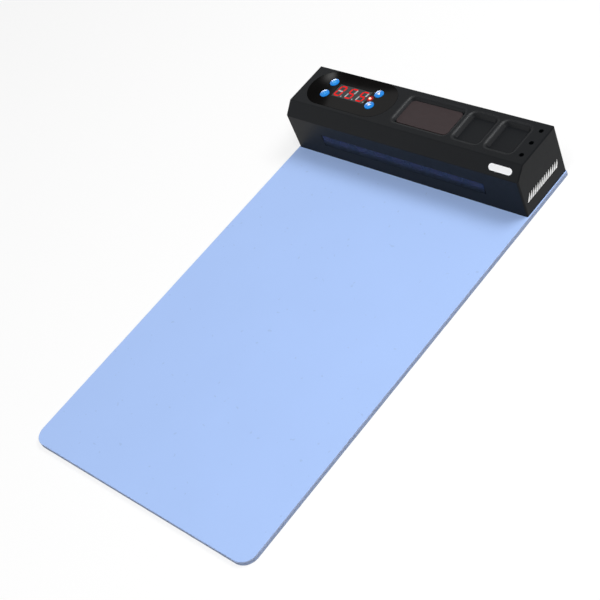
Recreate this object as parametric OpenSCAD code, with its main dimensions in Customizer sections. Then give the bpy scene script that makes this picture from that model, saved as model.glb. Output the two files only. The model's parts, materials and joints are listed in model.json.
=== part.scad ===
// Silicone heating pad with a control box along its rear edge.
// Millimetres, +Z up, +Y towards the control box, +X to the right of someone in front of it.
// The origin is the middle of the underside of the mat.

/* [Mat] */
// Width of the silicone mat, side to side
mat_w = 180; // [174:1:220]
// Length of the silicone mat, front to rear
mat_l = 300; // [240:1:400]
// Thickness of the top silicone sheet
mat_top_t = 2; // [1.4:0.1:3]
// Thickness of the bottom silicone sheet
mat_bottom_t = 1.6; // [1.4:0.1:3]
// Radius of the two free front corners
mat_front_r = 9; // [3:0.5:20]
// Radius of the two rear corners under the box
mat_rear_r = 0.8; // [0.5:0.1:3]

/* [Heater] */
// Unheated rim between the edge of the mat and the heater film
heater_rim = 7; // [5:0.5:15]
// Thickness of the film that carries the foil track
carrier_t = 0.25; // [0.1:0.05:0.4]
// Thickness of the foil track
track_t = 0.2; // [0.1:0.05:0.4]
// Width of the foil track
track_w = 4; // [2:0.5:5]
// Distance from one run of the track to the next
track_pitch = 8; // [6.5:0.5:14]
// Width of the tongue that takes the track under the box
tongue_w = 9; // [8:0.5:14]
// Distance from the front of the box to the bush that the leads pass through
lead_inset = 14.4; // [13:0.1:16]
// Distance of the temperature sensor from the front of the box
sensor_reach = 70; // [20:5:120]
// Length of the sensor bead
sensor_l = 6; // [4:0.5:10]
// Width of the sensor bead
sensor_w = 3; // [2:0.5:5]
// Thickness of the sensor bead
sensor_t = 1.1; // [0.8:0.1:1.3]

/* [Control box] */
// Mat left showing at each end of the box
end_reveal = 0.6; // [0:0.1:3]
// Depth of the box, front to rear
box_d = 40.4; // [38:0.5:60]
// Height of the box above the mat
box_h = 34.6; // [34:0.5:50]
// Thickness of the moulded walls
wall_t = 2.2; // [1.8:0.1:3]
// Depth of the sloping face between front and top
bevel_d = 7.6; // [4:0.2:9]
// Height of the sloping face between front and top
bevel_h = 7.2; // [4:0.2:8]
// Radius of the upright corners of the box
corner_r = 1.2; // [0.5:0.1:4]
// Radius of the edges between the top and the ends
end_edge_r = 0.8; // [0.4:0.1:2]
// Radius of the edge between the top and the rear
rear_edge_r = 0.4; // [0.3:0.1:1]
// Radius of the edge between the top and the sloping face
top_edge_r = 1.6; // [0.4:0.1:3]
// Radius of the edge between the sloping face and the front
front_edge_r = 0.8; // [0.3:0.1:2]
// Thickness of the base plate inside the box
base_t = 2; // [1.5:0.1:3]

/* [Control panel] */
// Width of the panel film, with its round ends
film_w = 67.4; // [64:0.2:80]
// Distance from the left end of the box to the film
film_end_gap = 5.2; // [3:0.1:12]
// Flat left on the top between the sloping face and the film
film_front_gap = 2.6; // [1:0.1:6]
// Flat left on the top between the film and the rear edge
film_rear_gap = 0.8; // [0.8:0.1:4]
// Thickness of the film and depth of its recess
film_t = 0.3; // [0.2:0.05:0.6]
// Diameter of the push buttons
button_d = 6.2; // [5:0.1:7]
// Distance between the left and right buttons
button_pitch_x = 36.9; // [34:0.1:40]
// Distance between the front and rear buttons
button_pitch_y = 10.5; // [10:0.1:12]
// Height of a button's rim over the film
button_rim_h = 0.2; // [0.2:0.1:1.5]
// Height of the dome over the button's rim
dome_h = 0.5; // [0.4:0.1:2]
// Travel of a button
button_travel = 0.4; // [0.2:0.05:0.6]
// Diameter of the flange that keeps a button in
button_flange_d = 8; // [7.5:0.1:9]
// Thickness of that flange
button_flange_t = 0.8; // [0.5:0.1:1.2]
// Height of the display block, from its board to its face
display_h = 8; // [7.6:0.1:9]
// Face left round the row of digits
display_margin = 0.75; // [0.5:0.05:1]
// Height of a digit
digit_h = 9.2; // [6:0.1:10]
// Width of a digit
digit_w = 5.4; // [3.5:0.1:5.5]
// Distance from one digit to the next
digit_pitch = 9; // [7:0.1:9]
// Width of a digit's segments
segment_w = 1.1; // [0.7:0.05:1.4]
// Slant of the digits in degrees
digit_slant = 8; // [0:1:12]
// Depth of the segments in the display's face
segment_t = 0.3; // [0.2:0.05:0.6]
// Distance of the status lamp from the middle of the display
led_offset = 15.1; // [14.6:0.1:16]
// Diameter of the status lamp
led_d = 2; // [1.5:0.1:3]

/* [Trays] */
// Width of each of the two small trays
small_tray_w = 20; // [12:0.5:24]
// Top left between two trays
tray_web = 3.2; // [2.6:0.1:6]
// Top left between the film and the first tray
film_tray_gap = 6.3; // [3:0.1:10]
// Top left between the last tray and the right end
tool_strip_w = 11.1; // [9:0.1:16]
// Top left between the sloping face and the trays
tray_front_gap = 5.1; // [2:0.1:8]
// Top left between the trays and the rear edge
tray_rear_gap = 4.3; // [2:0.1:8]
// Depth of the trays
tray_depth = 2.8; // [2.6:0.1:5]
// Thickness of the tray floors
tray_floor_t = 1.8; // [1.2:0.1:3]
// Corner radius of the trays
tray_corner_r = 3; // [2:0.1:5]
// Radius of the rounded rims of the trays
tray_rim_r = 1.2; // [0.4:0.1:1.4]
// Thickness of the flexible magnet sheet
magnet_t = 1; // [0.8:0.1:2]
// Gap between the magnet sheet and the walls of its tray
magnet_gap = 1.8; // [0.5:0.1:3]
// Corner radius of the magnet sheet
magnet_r = 1.6; // [0.5:0.1:3]

/* [Tool holes] */
// Diameter of the tool holes
tool_hole_d = 2.9; // [2:0.1:4]
// Distance from one tool hole to the next
tool_hole_pitch = 10; // [8:0.1:11]
// Distance of the tool holes from the right end
tool_hole_inset = 5.2; // [4.6:0.1:6]
// Depth of the tool holes
tool_hole_depth = 28; // [15:0.5:29]
// Wall round each tool hole
sleeve_wall = 1.4; // [1:0.1:2]

/* [Work lamp] */
// Height of the slot in the front
slot_h = 8.6; // [6:0.1:10]
// Height of the slot's lower edge above the mat
slot_z = 9.4; // [7:0.1:12]
// Distance from each end of the box to the slot
slot_end_gap = 26.4; // [24:0.1:40]
// Thickness of the lamp lens's flange behind the wall
lens_t = 1.5; // [1:0.1:2]
// Overlap of that flange on the wall round the slot
lens_lip = 1.6; // [1:0.1:2.5]
// Distance of the lens's face behind the front of the box
lens_recess = 0.8; // [0.4:0.1:1.4]
// Gap between the lens's raised face and the slot
lens_gap = 0.3; // [0.2:0.05:0.5]
// Distance from one lamp to the next
lamp_pitch = 14.4; // [12:0.1:20]
// Side of a lamp chip
lamp_side = 5; // [3:0.1:6]
// Height of a lamp chip
lamp_t = 1.6; // [1:0.1:2]
// Gap between the front wall and the lamp board
lamp_gap = 4.5; // [4.2:0.1:5.5]
// Thickness of the lamp board
lamp_board_t = 1.2; // [0.8:0.1:1.6]
// Height of the lamp board
lamp_board_h = 10; // [8:0.5:12]
// Wall between two cells of the reflector
reflector_wall = 0.8; // [0.5:0.1:1.2]
// Gap between a lamp chip and its cell at the board
reflector_gap = 0.3; // [0.2:0.05:0.5]

/* [Power inlet] */
// Distance of the inlet from the right end of the box
inlet_inset = 39.4; // [39:0.1:44]
// Distance of the inlet and the power switch below the top of the box
rear_parts_z = 19.2; // [18.6:0.1:19.6]
// Width of the inlet's mouth
inlet_mouth_w = 24.6; // [24:0.1:25]
// Height of the inlet's mouth
inlet_mouth_h = 16.8; // [16:0.1:17]
// Wall of the inlet's body
inlet_wall = 1.5; // [1.2:0.1:1.8]
// Depth of the inlet's mouth
inlet_depth = 15.5; // [14:0.1:16]
// Thickness of the inlet's floor
inlet_floor_t = 3.5; // [2:0.1:4]
// Thickness of the inlet's flange
inlet_flange_t = 3; // [2:0.1:4]
// Height of the inlet's flange
inlet_flange_h = 24; // [22:0.1:26]
// Distance between the inlet's screws
inlet_screw_pitch = 40; // [40:0.1:41]
// Length of a contact pin inside the mouth
contact_l = 12; // [10:0.1:13]

/* [Power switch] */
// Distance of the switch from the left end of the box
switch_inset = 23.4; // [20:0.1:26]
// Width of the switch's bezel
bezel_w = 21.2; // [20:0.1:23]
// Height of the switch's bezel
bezel_h = 15.2; // [14.6:0.1:17]
// Thickness of the switch's bezel
bezel_t = 2; // [1.4:0.1:2.5]
// Width of the switch's body
switch_w = 19; // [18:0.1:19.4]
// Height of the switch's body
switch_h = 13; // [12.6:0.1:13.4]
// Depth of the switch's body behind the rear face
switch_d = 14; // [12:0.1:16]
// Tilt of the rocker to each side of its middle
rocker_tilt = 10; // [6:1:12]
// Diameter of the rocker's pivot pins
pivot_d = 2.4; // [2:0.1:3]

/* [Circuit boards] */
// Thickness of the two large boards
board_t = 1.6; // [1.2:0.1:2]
// Length of the display board
display_board_w = 55; // [53:0.5:56]
// Depth of the display board
display_board_l = 25; // [24:0.5:25.5]
// Length of the control board
control_board_w = 62; // [56:0.5:70]
// Depth of the control board
control_board_l = 27; // [26.5:0.1:27.5]
// Distance from the left end of the box to the control board
control_board_inset = 43.4; // [43:0.1:50]
// Height of the control board over the base plate
standoff_h = 3; // [2:0.5:4]
// Distance of a board's screws from its edges
board_screw_inset = 3.2; // [2.8:0.1:3.4]
// Edge of the control board left free of parts
board_edge = 1; // [0.6:0.1:1.4]
// Width of the transformer's core
core_w = 14; // [12:0.5:15]
// Depth of the transformer's core
core_d = 10; // [8:0.5:12]
// Height of the transformer's core
core_h = 13; // [10:0.5:16]
// Depth of the transformer's coil
coil_d = 15; // [14:0.5:18]
// Width of the relay
relay_w = 7.2; // [6:0.1:8]
// Depth of the relay
relay_d = 20.4; // [18:0.1:21]
// Height of the relay
relay_h = 15.4; // [10:0.1:18]
// Length of the fuse
fuse_l = 20; // [16:0.5:21]
// Diameter of the fuse's caps
fuse_d = 5.2; // [4:0.1:6]
// Diameter of the capacitors
capacitor_d = 8; // [6:0.1:8.6]
// Height of the capacitors
capacitor_h = 11.5; // [8:0.5:14]
// Width of the suppressor
suppressor_w = 5; // [4:0.1:6]
// Length of the suppressor
suppressor_l = 13; // [10:0.5:15]
// Height of the suppressor
suppressor_h = 9; // [7:0.5:12]
// Length of the microcontroller
chip_l = 10; // [7:0.5:12]
// Width of the microcontroller's body
chip_w = 4; // [3:0.5:5]

/* [Fasteners] */
// Diameter of the screws that hold the base plate
case_screw_d = 3; // [2.5:0.1:3.5]
// Diameter of the screws that hold the boards
board_screw_d = 2; // [1.6:0.1:2.5]
// Diameter of the screws that hold the inlet
inlet_screw_d = 3; // [2.5:0.1:3.2]
// Length of the base plate's screws above the plate
case_screw_grip = 8; // [6:0.5:10]
// Length of a board's screws beyond the board
board_screw_grip = 3.4; // [2.5:0.1:3.8]

/* [Fits] */
// Gap round a piece that drops into a recess or a cut-out
seat_gap = 0.2; // [0.1:0.05:0.3]
// Gap round a button in its hole
button_gap = 0.2; // [0.15:0.05:0.3]
// Gap round a turning pin or a threaded shank
pin_gap = 0.06; // [0.03:0.01:0.1]
// Gap between the rocker and the walls of its frame
rocker_gap = 0.3; // [0.2:0.05:0.4]

/* [Hidden] */
$fn = 48;

// Levels and outer faces
mat_t = mat_top_t + mat_bottom_t;
top_z = mat_t + box_h;
rear_y = mat_l / 2;
front_y = rear_y - box_d;
box_l = mat_w - 2 * end_reveal;
left_x = -box_l / 2;
right_x = box_l / 2;
base_top = mat_t + base_t;
inner_front = front_y + wall_t;
inner_rear = rear_y - wall_t;
inner_top = top_z - wall_t;
flat_front = front_y + bevel_d;

// Panel
film_l = box_d - bevel_d - film_front_gap - film_rear_gap;
film_x = left_x + film_end_gap + film_w / 2;
film_y = flat_front + film_front_gap + film_l / 2;
button_side = [-1, -1, 1, 1];
button_row = [1, -1, 1, -1];
face_drop = 0.15;
face_z = top_z - face_drop;
display_w = 2 * digit_pitch + digit_w + digit_h * tan(digit_slant) + 2 * display_margin;
display_l = digit_h + 2 * display_margin;
display_board_top = face_z - display_h;
flange_top = inner_top - 0.12;
flange_bottom = flange_top - button_flange_t;
can_side = 6;
can_h = 3.4;
plunger_d = 3.4;
plunger_sink = 1.9;
plunger_bottom = display_board_top + can_h - plunger_sink;
post_d = 5.2;

// Trays, counted from the film to the right end
tray_y0 = flat_front + tray_front_gap;
tray_y1 = rear_y - tray_rear_gap;
tray_l = tray_y1 - tray_y0;
tray_y = (tray_y0 + tray_y1) / 2;
tray_end = right_x - tool_strip_w;
large_tray_x0 = film_x + film_w / 2 + film_tray_gap;
large_tray_x1 = tray_end - 2 * (small_tray_w + tray_web);
large_tray_w = large_tray_x1 - large_tray_x0;
tray_w = [large_tray_w, small_tray_w, small_tray_w];
tray_x = [
    (large_tray_x0 + large_tray_x1) / 2,
    tray_end - small_tray_w * 1.5 - tray_web,
    tray_end - small_tray_w / 2
];
tray_floor = top_z - tray_depth;
tool_hole_x = right_x - tool_hole_inset;
tool_hole_y = [for (i = [-1:1]) tray_y + i * tool_hole_pitch];
sleeve_d = tool_hole_d + 2 * sleeve_wall;

// Work lamp
slot_w = box_l - 2 * slot_end_gap;
slot_mid = mat_t + slot_z + slot_h / 2;
lamp_count = floor(slot_w / lamp_pitch);
lamp_board_y = inner_front + lamp_gap;
lamp_boss_d = 6;
lamp_boss_x = slot_w / 2 + lens_lip + seat_gap + lamp_boss_d / 2 + 0.8;
lamp_board_w = 2 * lamp_boss_x + lamp_boss_d;

// Case screws: they run up into bosses that merge with the walls
boss_d = 6.8;
boss_merge = 0.4;
boss_inset = wall_t + boss_d / 2 - boss_merge;
front_boss_top = top_z - bevel_h;
rear_right_boss_x = tool_hole_x - sleeve_d / 2 - boss_d / 2 - 0.75;
boss_xy = [
    [left_x + boss_inset, front_y + boss_inset, front_boss_top],
    [right_x - boss_inset, front_y + boss_inset, front_boss_top],
    [left_x + boss_inset, rear_y - boss_inset, inner_top],
    [rear_right_boss_x, rear_y - boss_inset, inner_top]
];
case_head_d = 6;
case_head_h = 2;
access_hole_d = case_head_d + 2;

// Rear parts
rear_z = top_z - rear_parts_z;
inlet_x = right_x - inlet_inset;
inlet_body_w = inlet_mouth_w + 2 * inlet_wall;
inlet_body_h = inlet_mouth_h + 2 * inlet_wall;
inlet_face = rear_y + inlet_flange_t;
inlet_floor_y = inlet_face - inlet_depth;
inlet_back = inlet_floor_y - inlet_floor_t;
inlet_ear_r = 5;
contact_w = 4;
contact_thick = 2;
contact_pitch = 7;
contact_drop = 2;
contact_xz = [[-contact_pitch, -contact_drop], [contact_pitch, -contact_drop], [0, contact_drop]];
tab_l = 7;
tab_w = 4.8;
tab_thick = 0.8;
nut_across = 5.5;
nut_t = 2.4;
switch_x = left_x + switch_inset;
switch_back = rear_y - switch_d;
pivot_y = rear_y - 1.4;
rocker_r = switch_w / 2 - 1.1;
rocker_h = switch_h - 2.4;
rocker_mid = rear_y + bezel_t - pivot_y - 0.2;
rocker_cavity_y = pivot_y - 5.4;
pivot_pin_l = 0.8;
switch_tab_pitch = 7;

// Boards and what stands on them
control_x0 = left_x + control_board_inset;
control_x = control_x0 + control_board_w / 2;
control_y = inner_rear - 1.3 - control_board_l / 2;
control_bottom = base_top + standoff_h;
control_top = control_bottom + board_t;
control_screw_x = control_board_w / 2 - board_screw_inset;
control_screw_y = control_board_l / 2 - board_screw_inset;
board_head_d = board_screw_d * 1.9;
board_head_h = board_screw_d * 0.65;
display_screw_x = display_board_w / 2 - 3;
display_screw_y = display_board_l / 2 - 3;
terminal_w = 8.2;
terminal_h = 10;
terminal_pitch = 3.96;
terminal_poles = 4;
clip_w = fuse_d + 1.2;
ribbon_bow = 1.1;
ribbon_t = 0.7;
capacitor_rim_d = capacitor_d + 0.4;

// Columns of parts on the control board, from left to right, with equal gaps between them
column_w = [
    terminal_w, 2 * ribbon_bow + ribbon_t, capacitor_rim_d, clip_w, relay_w, core_w, suppressor_w
];
function sum(v, n) = n == 0 ? 0 : v[n - 1] + sum(v, n - 1);
column_gap = (control_board_w - 2 * board_edge - sum(column_w, len(column_w))) / (len(column_w) - 1);
function column_x(i) = control_x0 + board_edge + sum(column_w, i) + i * column_gap + column_w[i] / 2;
terminal_x = column_x(0);
ribbon_x = column_x(1);
capacitor_x = column_x(2);
fuse_x = column_x(3);
relay_x = column_x(4);
core_x = column_x(5);
suppressor_x = column_x(6);
fuse_z = control_top + clip_w / 2 + 0.4;
terminal_y = control_y;
terminal_entry_z = control_top + 3.6;
terminal_entry_y = [for (i = [0:terminal_poles - 1])
    terminal_y + (i - (terminal_poles - 1) / 2) * terminal_pitch];

// Leads out of the mat
lead_x = control_x0 - 6;
lead_y = front_y + lead_inset;
lead_pitch = 3.6;
lead_d = 1.6;
bush_hole_d = 9.2;
bush_d = 11.2;
bush_bore_d = 6.6;
thin_lead_d = 1;
sensor_lead_y = lead_y + 2.05;
sensor_y = front_y - sensor_reach;
heater_z = mat_bottom_t;
heater_pocket_t = carrier_t + track_t;
heater_w = mat_w - 2 * heater_rim;
heater_front = -mat_l / 2 + heater_rim;
heater_rear = front_y - 3;
tongue_end = lead_y + 1.2;

// Outlines that several pieces share

module rounded_rect(w, l, r) {
    square([w - 2 * r, l], center = true);
    square([w, l - 2 * r], center = true);
    for (sx = [-1, 1], sy = [-1, 1])
        translate([sx * (w / 2 - r), sy * (l / 2 - r)]) circle(r = r);
}

module stadium(w, l) {
    square([w - l, l], center = true);
    for (s = [-1, 1]) translate([s * (w - l) / 2, 0]) circle(d = l);
}

module at_buttons() {
    for (i = [0:3]) at_button(i) children();
}

module at_button(i) {
    translate([
        film_x + button_side[i] * button_pitch_x / 2,
        film_y + button_row[i] * button_pitch_y / 2,
        0
    ]) children();
}

module at_corners(x, y, dx, dy) {
    for (sx = [-1, 1], sy = [-1, 1]) translate([x + sx * dx, y + sy * dy, 0]) children();
}

// Turn a shape drawn upright along +Z so that it points to the rear, +Y
module facing_rear() {
    rotate([-90, 0, 0]) children();
}

// Outline with a round of its own radius at each corner, the corners anticlockwise
function toward(a, b) = (b - a) / norm(b - a);
function rounding(a, b, c, r) =
    let (u = toward(b, a), w = toward(b, c), half = acos(u * w) / 2)
    [b + u * r / tan(half), b + w * r / tan(half), b + toward([0, 0], u + w) * r / sin(half)];

module rounded_outline(corners, radii) {
    n = len(corners);
    rounds = [for (i = [0:n - 1])
        rounding(corners[(i + n - 1) % n], corners[i], corners[(i + 1) % n], radii[i])];
    polygon([for (i = [0:n - 1]) each radii[i] > 0 ? [rounds[i][0], rounds[i][1]] : [corners[i]]]);
    for (i = [0:n - 1]) if (radii[i] > 0) translate(rounds[i][2]) circle(r = radii[i]);
}

// Outline of the mat, with two rounded front corners and two nearly sharp rear ones
module mat_outline() {
    x = mat_w / 2;
    y = mat_l / 2;
    rounded_outline(
        [[-x, -y], [x, -y], [x, y], [-x, y]],
        [mat_front_r, mat_front_r, mat_rear_r, mat_rear_r]
    );
}

module case_screw_access(z0, h) {
    for (b = boss_xy) translate([b[0], b[1], z0 - 1]) cylinder(d = access_hole_d, h = h + 2);
}

// Outline of the heater film, grown by a gap all round
module heater_outline(gap) {
    translate([0, (heater_front + heater_rear) / 2])
        rounded_rect(heater_w + 2 * gap, heater_rear - heater_front + 2 * gap, 4);
    translate([lead_x - tongue_w / 2 - gap, heater_rear - 5])
        square([tongue_w + 2 * gap, tongue_end - heater_rear + 5 + gap]);
}

module mat_top_sheet() {
    color([0.62, 0.73, 0.93])
    difference() {
        translate([0, 0, mat_bottom_t]) linear_extrude(mat_top_t) mat_outline();
        translate([0, 0, heater_z - 1]) linear_extrude(heater_pocket_t + 1) heater_outline(0.5);
        case_screw_access(mat_bottom_t, mat_top_t);
        translate([lead_x, lead_y, mat_bottom_t]) cylinder(d = bush_bore_d, h = mat_top_t + 1);
    }
}

module mat_bottom_sheet() {
    color([0.45, 0.52, 0.63])
    difference() {
        linear_extrude(mat_bottom_t) mat_outline();
        case_screw_access(0, mat_bottom_t);
        translate([lead_x, sensor_y, mat_bottom_t - sensor_t / 2 + 0.5])
            cube([sensor_w + 0.4, sensor_l + 0.4, sensor_t + 1], center = true);
        translate([lead_x - 0.7, sensor_y, mat_bottom_t - thin_lead_d - 0.1])
            cube([1.4, sensor_lead_y + 0.8 - sensor_y, thin_lead_d + 1]);
    }
}

module heater_carrier() {
    color([0.78, 0.55, 0.22])
    translate([0, 0, heater_z]) linear_extrude(carrier_t) heater_outline(0);
}

// One rectangle of track between two points that share a row or a column
module track_run(x0, y0, x1, y1, w) {
    translate([min(x0, x1) - w / 2, min(y0, y1) - w / 2])
        square([abs(x1 - x0) + w, abs(y1 - y0) + w]);
}

module heater_track() {
    margin = 3 + track_w / 2;
    lane_x = -heater_w / 2 + margin;
    left = lane_x + track_pitch;
    right = heater_w / 2 - margin;
    first_y = heater_rear - margin;
    rows = 2 * floor((first_y - heater_front - margin) / track_pitch / 2);
    last_y = first_y - (rows - 1) * track_pitch;
    tail_w = 2.4;
    color([0.72, 0.74, 0.76])
    translate([0, 0, heater_z + carrier_t]) linear_extrude(track_t) {
        track_run(lead_x + lead_pitch / 2, first_y, right, first_y, track_w);
        track_run(lane_x, first_y, lead_x - lead_pitch / 2 - track_w, first_y, track_w);
        let (x = lead_x - lead_pitch / 2) track_run(x - track_w, first_y, x, first_y, tail_w);
        for (i = [1:rows - 1])
            track_run(left, first_y - i * track_pitch, right, first_y - i * track_pitch, track_w);
        for (i = [0:rows - 2])
            let (x = i % 2 == 0 ? right : left)
                track_run(x, first_y - i * track_pitch, x, first_y - (i + 1) * track_pitch, track_w);
        track_run(lane_x, first_y, lane_x, last_y, track_w);
        track_run(lane_x, last_y, left, last_y, track_w);
        for (s = [-1, 1])
            let (x = lead_x + s * lead_pitch / 2) track_run(x, first_y, x, lead_y - 0.6, tail_w);
    }
}

module temperature_sensor() {
    color([0.15, 0.15, 0.17])
    translate([lead_x, sensor_y, mat_bottom_t - sensor_t / 2])
        cube([sensor_w, sensor_l, sensor_t], center = true);
}

// Rubber bush that lines the hole where the leads enter the box
module lead_bush() {
    color([0.12, 0.12, 0.12])
    translate([lead_x, lead_y, base_top]) difference() {
        union() {
            translate([0, 0, -base_t]) cylinder(d = bush_hole_d - 2 * pin_gap, h = base_t);
            cylinder(d = bush_d, h = 1.2);
        }
        translate([0, 0, -base_t - 1]) cylinder(d = bush_bore_d, h = base_t + 4);
    }
}

module base_plate() {
    gap = 0.3;
    color([0.16, 0.16, 0.17])
    difference() {
        union() {
            translate([0, (inner_front + inner_rear) / 2, mat_t]) linear_extrude(base_t)
                rounded_rect(box_l - 2 * wall_t - 2 * gap, inner_rear - inner_front - 2 * gap, 1.5);
            at_corners(control_x, control_y, control_screw_x, control_screw_y)
                translate([0, 0, base_top]) cylinder(d = 5, h = standoff_h);
        }
        for (b = boss_xy)
            translate([b[0], b[1], mat_t - 1]) cylinder(d = case_screw_d + 0.4, h = base_t + 2);
        translate([lead_x, lead_y, mat_t - 1]) cylinder(d = bush_hole_d, h = base_t + 2);
        at_corners(control_x, control_y, control_screw_x, control_screw_y)
            translate([0, 0, mat_t + 0.6])
                cylinder(d = board_screw_d + 2 * pin_gap, h = base_t + standoff_h);
    }
}

// Side outline of the box in the plane of depth and height, set in by a distance
module side_outline(inset, z0, rear_r, top_r, front_r) {
    y0 = front_y + inset;
    y1 = rear_y - inset;
    z1 = top_z - inset;
    slope = bevel_h / bevel_d;
    slant = sqrt(bevel_d * bevel_d + bevel_h * bevel_h);
    bevel_y = front_y + inset * bevel_h / slant;
    bevel_z = top_z - bevel_h - inset * bevel_d / slant;
    rounded_outline(
        [
            [y0, z0], [y1, z0], [y1, z1],
            [bevel_y + (z1 - bevel_z) / slope, z1],
            [y0, bevel_z + (y0 - bevel_y) * slope]
        ],
        [0, 0, rear_r, top_r, front_r]
    );
}

module along_box(l) {
    rotate([90, 0, 90]) translate([0, 0, -l / 2]) linear_extrude(l) children();
}

// Prism along +Y whose top is the plane z = 0, with its two top edges rounded
module end_rounded_prism() {
    reach = 2 * (box_d + box_h);
    translate([0, reach, -reach / 2]) rotate([90, 0, 0]) linear_extrude(2 * reach)
        rounded_rect(box_l, reach, end_edge_r);
}

// The solid envelope of the box, with its sloping face and rounded edges
module box_envelope() {
    intersection() {
        along_box(box_l + 2) side_outline(0, mat_t, rear_edge_r, top_edge_r, front_edge_r);
        translate([0, (front_y + rear_y) / 2, mat_t]) linear_extrude(box_h)
            rounded_rect(box_l, box_d, corner_r);
        translate([0, front_y, top_z]) end_rounded_prism();
        translate([0, front_y, top_z - bevel_h]) rotate([atan2(bevel_h, bevel_d), 0, 0])
            end_rounded_prism();
    }
}

// Pocket with a rounded rim, cut down from the top
module tray_cut(w, l) {
    rim = tray_rim_r;
    translate([0, 0, -tray_depth]) linear_extrude(tray_depth + 1) rounded_rect(w, l, tray_corner_r);
    difference() {
        translate([0, 0, -rim]) linear_extrude(rim + 1)
            rounded_rect(w + 2 * rim, l + 2 * rim, tray_corner_r + rim);
        for (s = [-1, 1]) {
            translate([0, s * (l / 2 + rim), -rim]) rotate([0, 90, 0])
                cylinder(r = rim, h = w - 2 * tray_corner_r, center = true);
            translate([s * (w / 2 + rim), 0, -rim]) rotate([90, 0, 0])
                cylinder(r = rim, h = l - 2 * tray_corner_r, center = true);
        }
        for (i = [0:3])
            translate([
                (i == 0 || i == 3 ? 1 : -1) * (w / 2 - tray_corner_r),
                (i < 2 ? 1 : -1) * (l / 2 - tray_corner_r),
                -rim
            ]) rotate([0, 0, 90 * i]) rotate_extrude(angle = 90)
                translate([tray_corner_r + rim, 0]) circle(r = rim);
    }
}

module inlet_ears() {
    for (s = [-1, 1]) translate([s * inlet_screw_pitch / 2, 0, 0]) children();
}

module housing() {
    color([0.13, 0.13, 0.14])
    difference() {
        union() {
            difference() {
                box_envelope();
                along_box(box_l - 2 * wall_t) side_outline(wall_t, mat_t - 1, 0.5, 0, 0);
            }
            for (i = [0:2])
                translate([tray_x[i], tray_y, tray_floor - tray_floor_t])
                    linear_extrude(top_z - 0.5 - tray_floor + tray_floor_t)
                        rounded_rect(tray_w[i] + 2 * tray_floor_t, tray_l + 2 * tray_floor_t,
                            tray_corner_r + tray_floor_t);
            for (y = tool_hole_y)
                translate([tool_hole_x, y, top_z - tool_hole_depth - sleeve_wall])
                    cylinder(d = sleeve_d, h = tool_hole_depth);
            for (b = boss_xy)
                translate([b[0], b[1], base_top]) cylinder(d = boss_d, h = b[2] - base_top);
            at_corners(film_x, film_y, display_screw_x, display_screw_y)
                translate([0, 0, display_board_top])
                    cylinder(d = post_d, h = inner_top - display_board_top + 0.5);
            for (s = [-1, 1])
                translate([s * lamp_boss_x, inner_front - 0.5, slot_mid])
                    facing_rear() cylinder(d = lamp_boss_d, h = lamp_gap + 0.5);
        }
        translate([film_x, film_y, top_z - film_t]) linear_extrude(1)
            stadium(film_w + 2 * seat_gap, film_l + 2 * seat_gap);
        translate([film_x, film_y, inner_top - 1]) linear_extrude(wall_t + 2)
            square([display_w + 2 * seat_gap, display_l + 2 * seat_gap], center = true);
        at_buttons() translate([0, 0, inner_top - 1])
            cylinder(d = button_d + 2 * button_gap, h = wall_t + 2);
        translate([film_x + led_offset, film_y, inner_top - 1])
            cylinder(d = led_d + 2 * seat_gap, h = wall_t + 2);
        for (i = [0:2]) translate([tray_x[i], tray_y, top_z]) tray_cut(tray_w[i], tray_l);
        for (y = tool_hole_y)
            translate([tool_hole_x, y, top_z - tool_hole_depth])
                cylinder(d = tool_hole_d, h = tool_hole_depth + 1);
        for (b = boss_xy)
            translate([b[0], b[1], base_top - 1])
                cylinder(d = case_screw_d + 2 * pin_gap, h = case_screw_grip + 2);
        at_corners(film_x, film_y, display_screw_x, display_screw_y)
            translate([0, 0, display_board_top - 1])
                cylinder(d = board_screw_d + 2 * pin_gap, h = board_screw_grip + 1.5);
        translate([0, front_y, slot_mid])
            cube([slot_w, 2 * wall_t + 0.4, slot_h], center = true);
        for (s = [-1, 1])
            translate([s * lamp_boss_x, lamp_board_y - board_screw_grip - 0.5, slot_mid])
                facing_rear() cylinder(d = board_screw_d + 2 * pin_gap, h = board_screw_grip + 1.5);
        translate([inlet_x, rear_y, rear_z]) {
            cube([inlet_body_w + 2 * seat_gap, 3 * wall_t, inlet_body_h + 2 * seat_gap], center = true);
            translate([0, -wall_t - 1, 0]) inlet_ears()
                facing_rear() cylinder(d = inlet_screw_d + 0.4, h = wall_t + 2);
        }
        translate([switch_x, rear_y, rear_z])
            cube([switch_w + 2 * seat_gap, 3 * wall_t, switch_h + 2 * seat_gap], center = true);
    }
}

module case_screws() {
    color([0.75, 0.76, 0.78])
    for (b = boss_xy) translate([b[0], b[1], mat_t]) difference() {
        union() {
            translate([0, 0, -case_head_h]) cylinder(d = case_head_d, h = case_head_h);
            cylinder(d = case_screw_d, h = base_t + case_screw_grip);
        }
        translate([0, 0, -case_head_h - 0.1]) for (a = [0, 90])
            rotate([0, 0, a]) translate([-1.6, -0.35, 0]) cube([3.2, 0.7, 1.2]);
    }
}

// Stepped lens: a flange behind the wall, and a raised face that nearly fills the slot
module lamp_lens() {
    face_t = wall_t - lens_recess + lens_t;
    color([0.2, 0.23, 0.3, 0.7])
    translate([0, inner_front + lens_t, slot_mid]) {
        translate([0, -lens_t / 2, 0])
            cube([slot_w + 2 * lens_lip, lens_t, slot_h + 2 * lens_lip], center = true);
        translate([0, -face_t / 2, 0])
            cube([slot_w - 2 * lens_gap, face_t, slot_h - 2 * lens_gap], center = true);
    }
}

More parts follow.
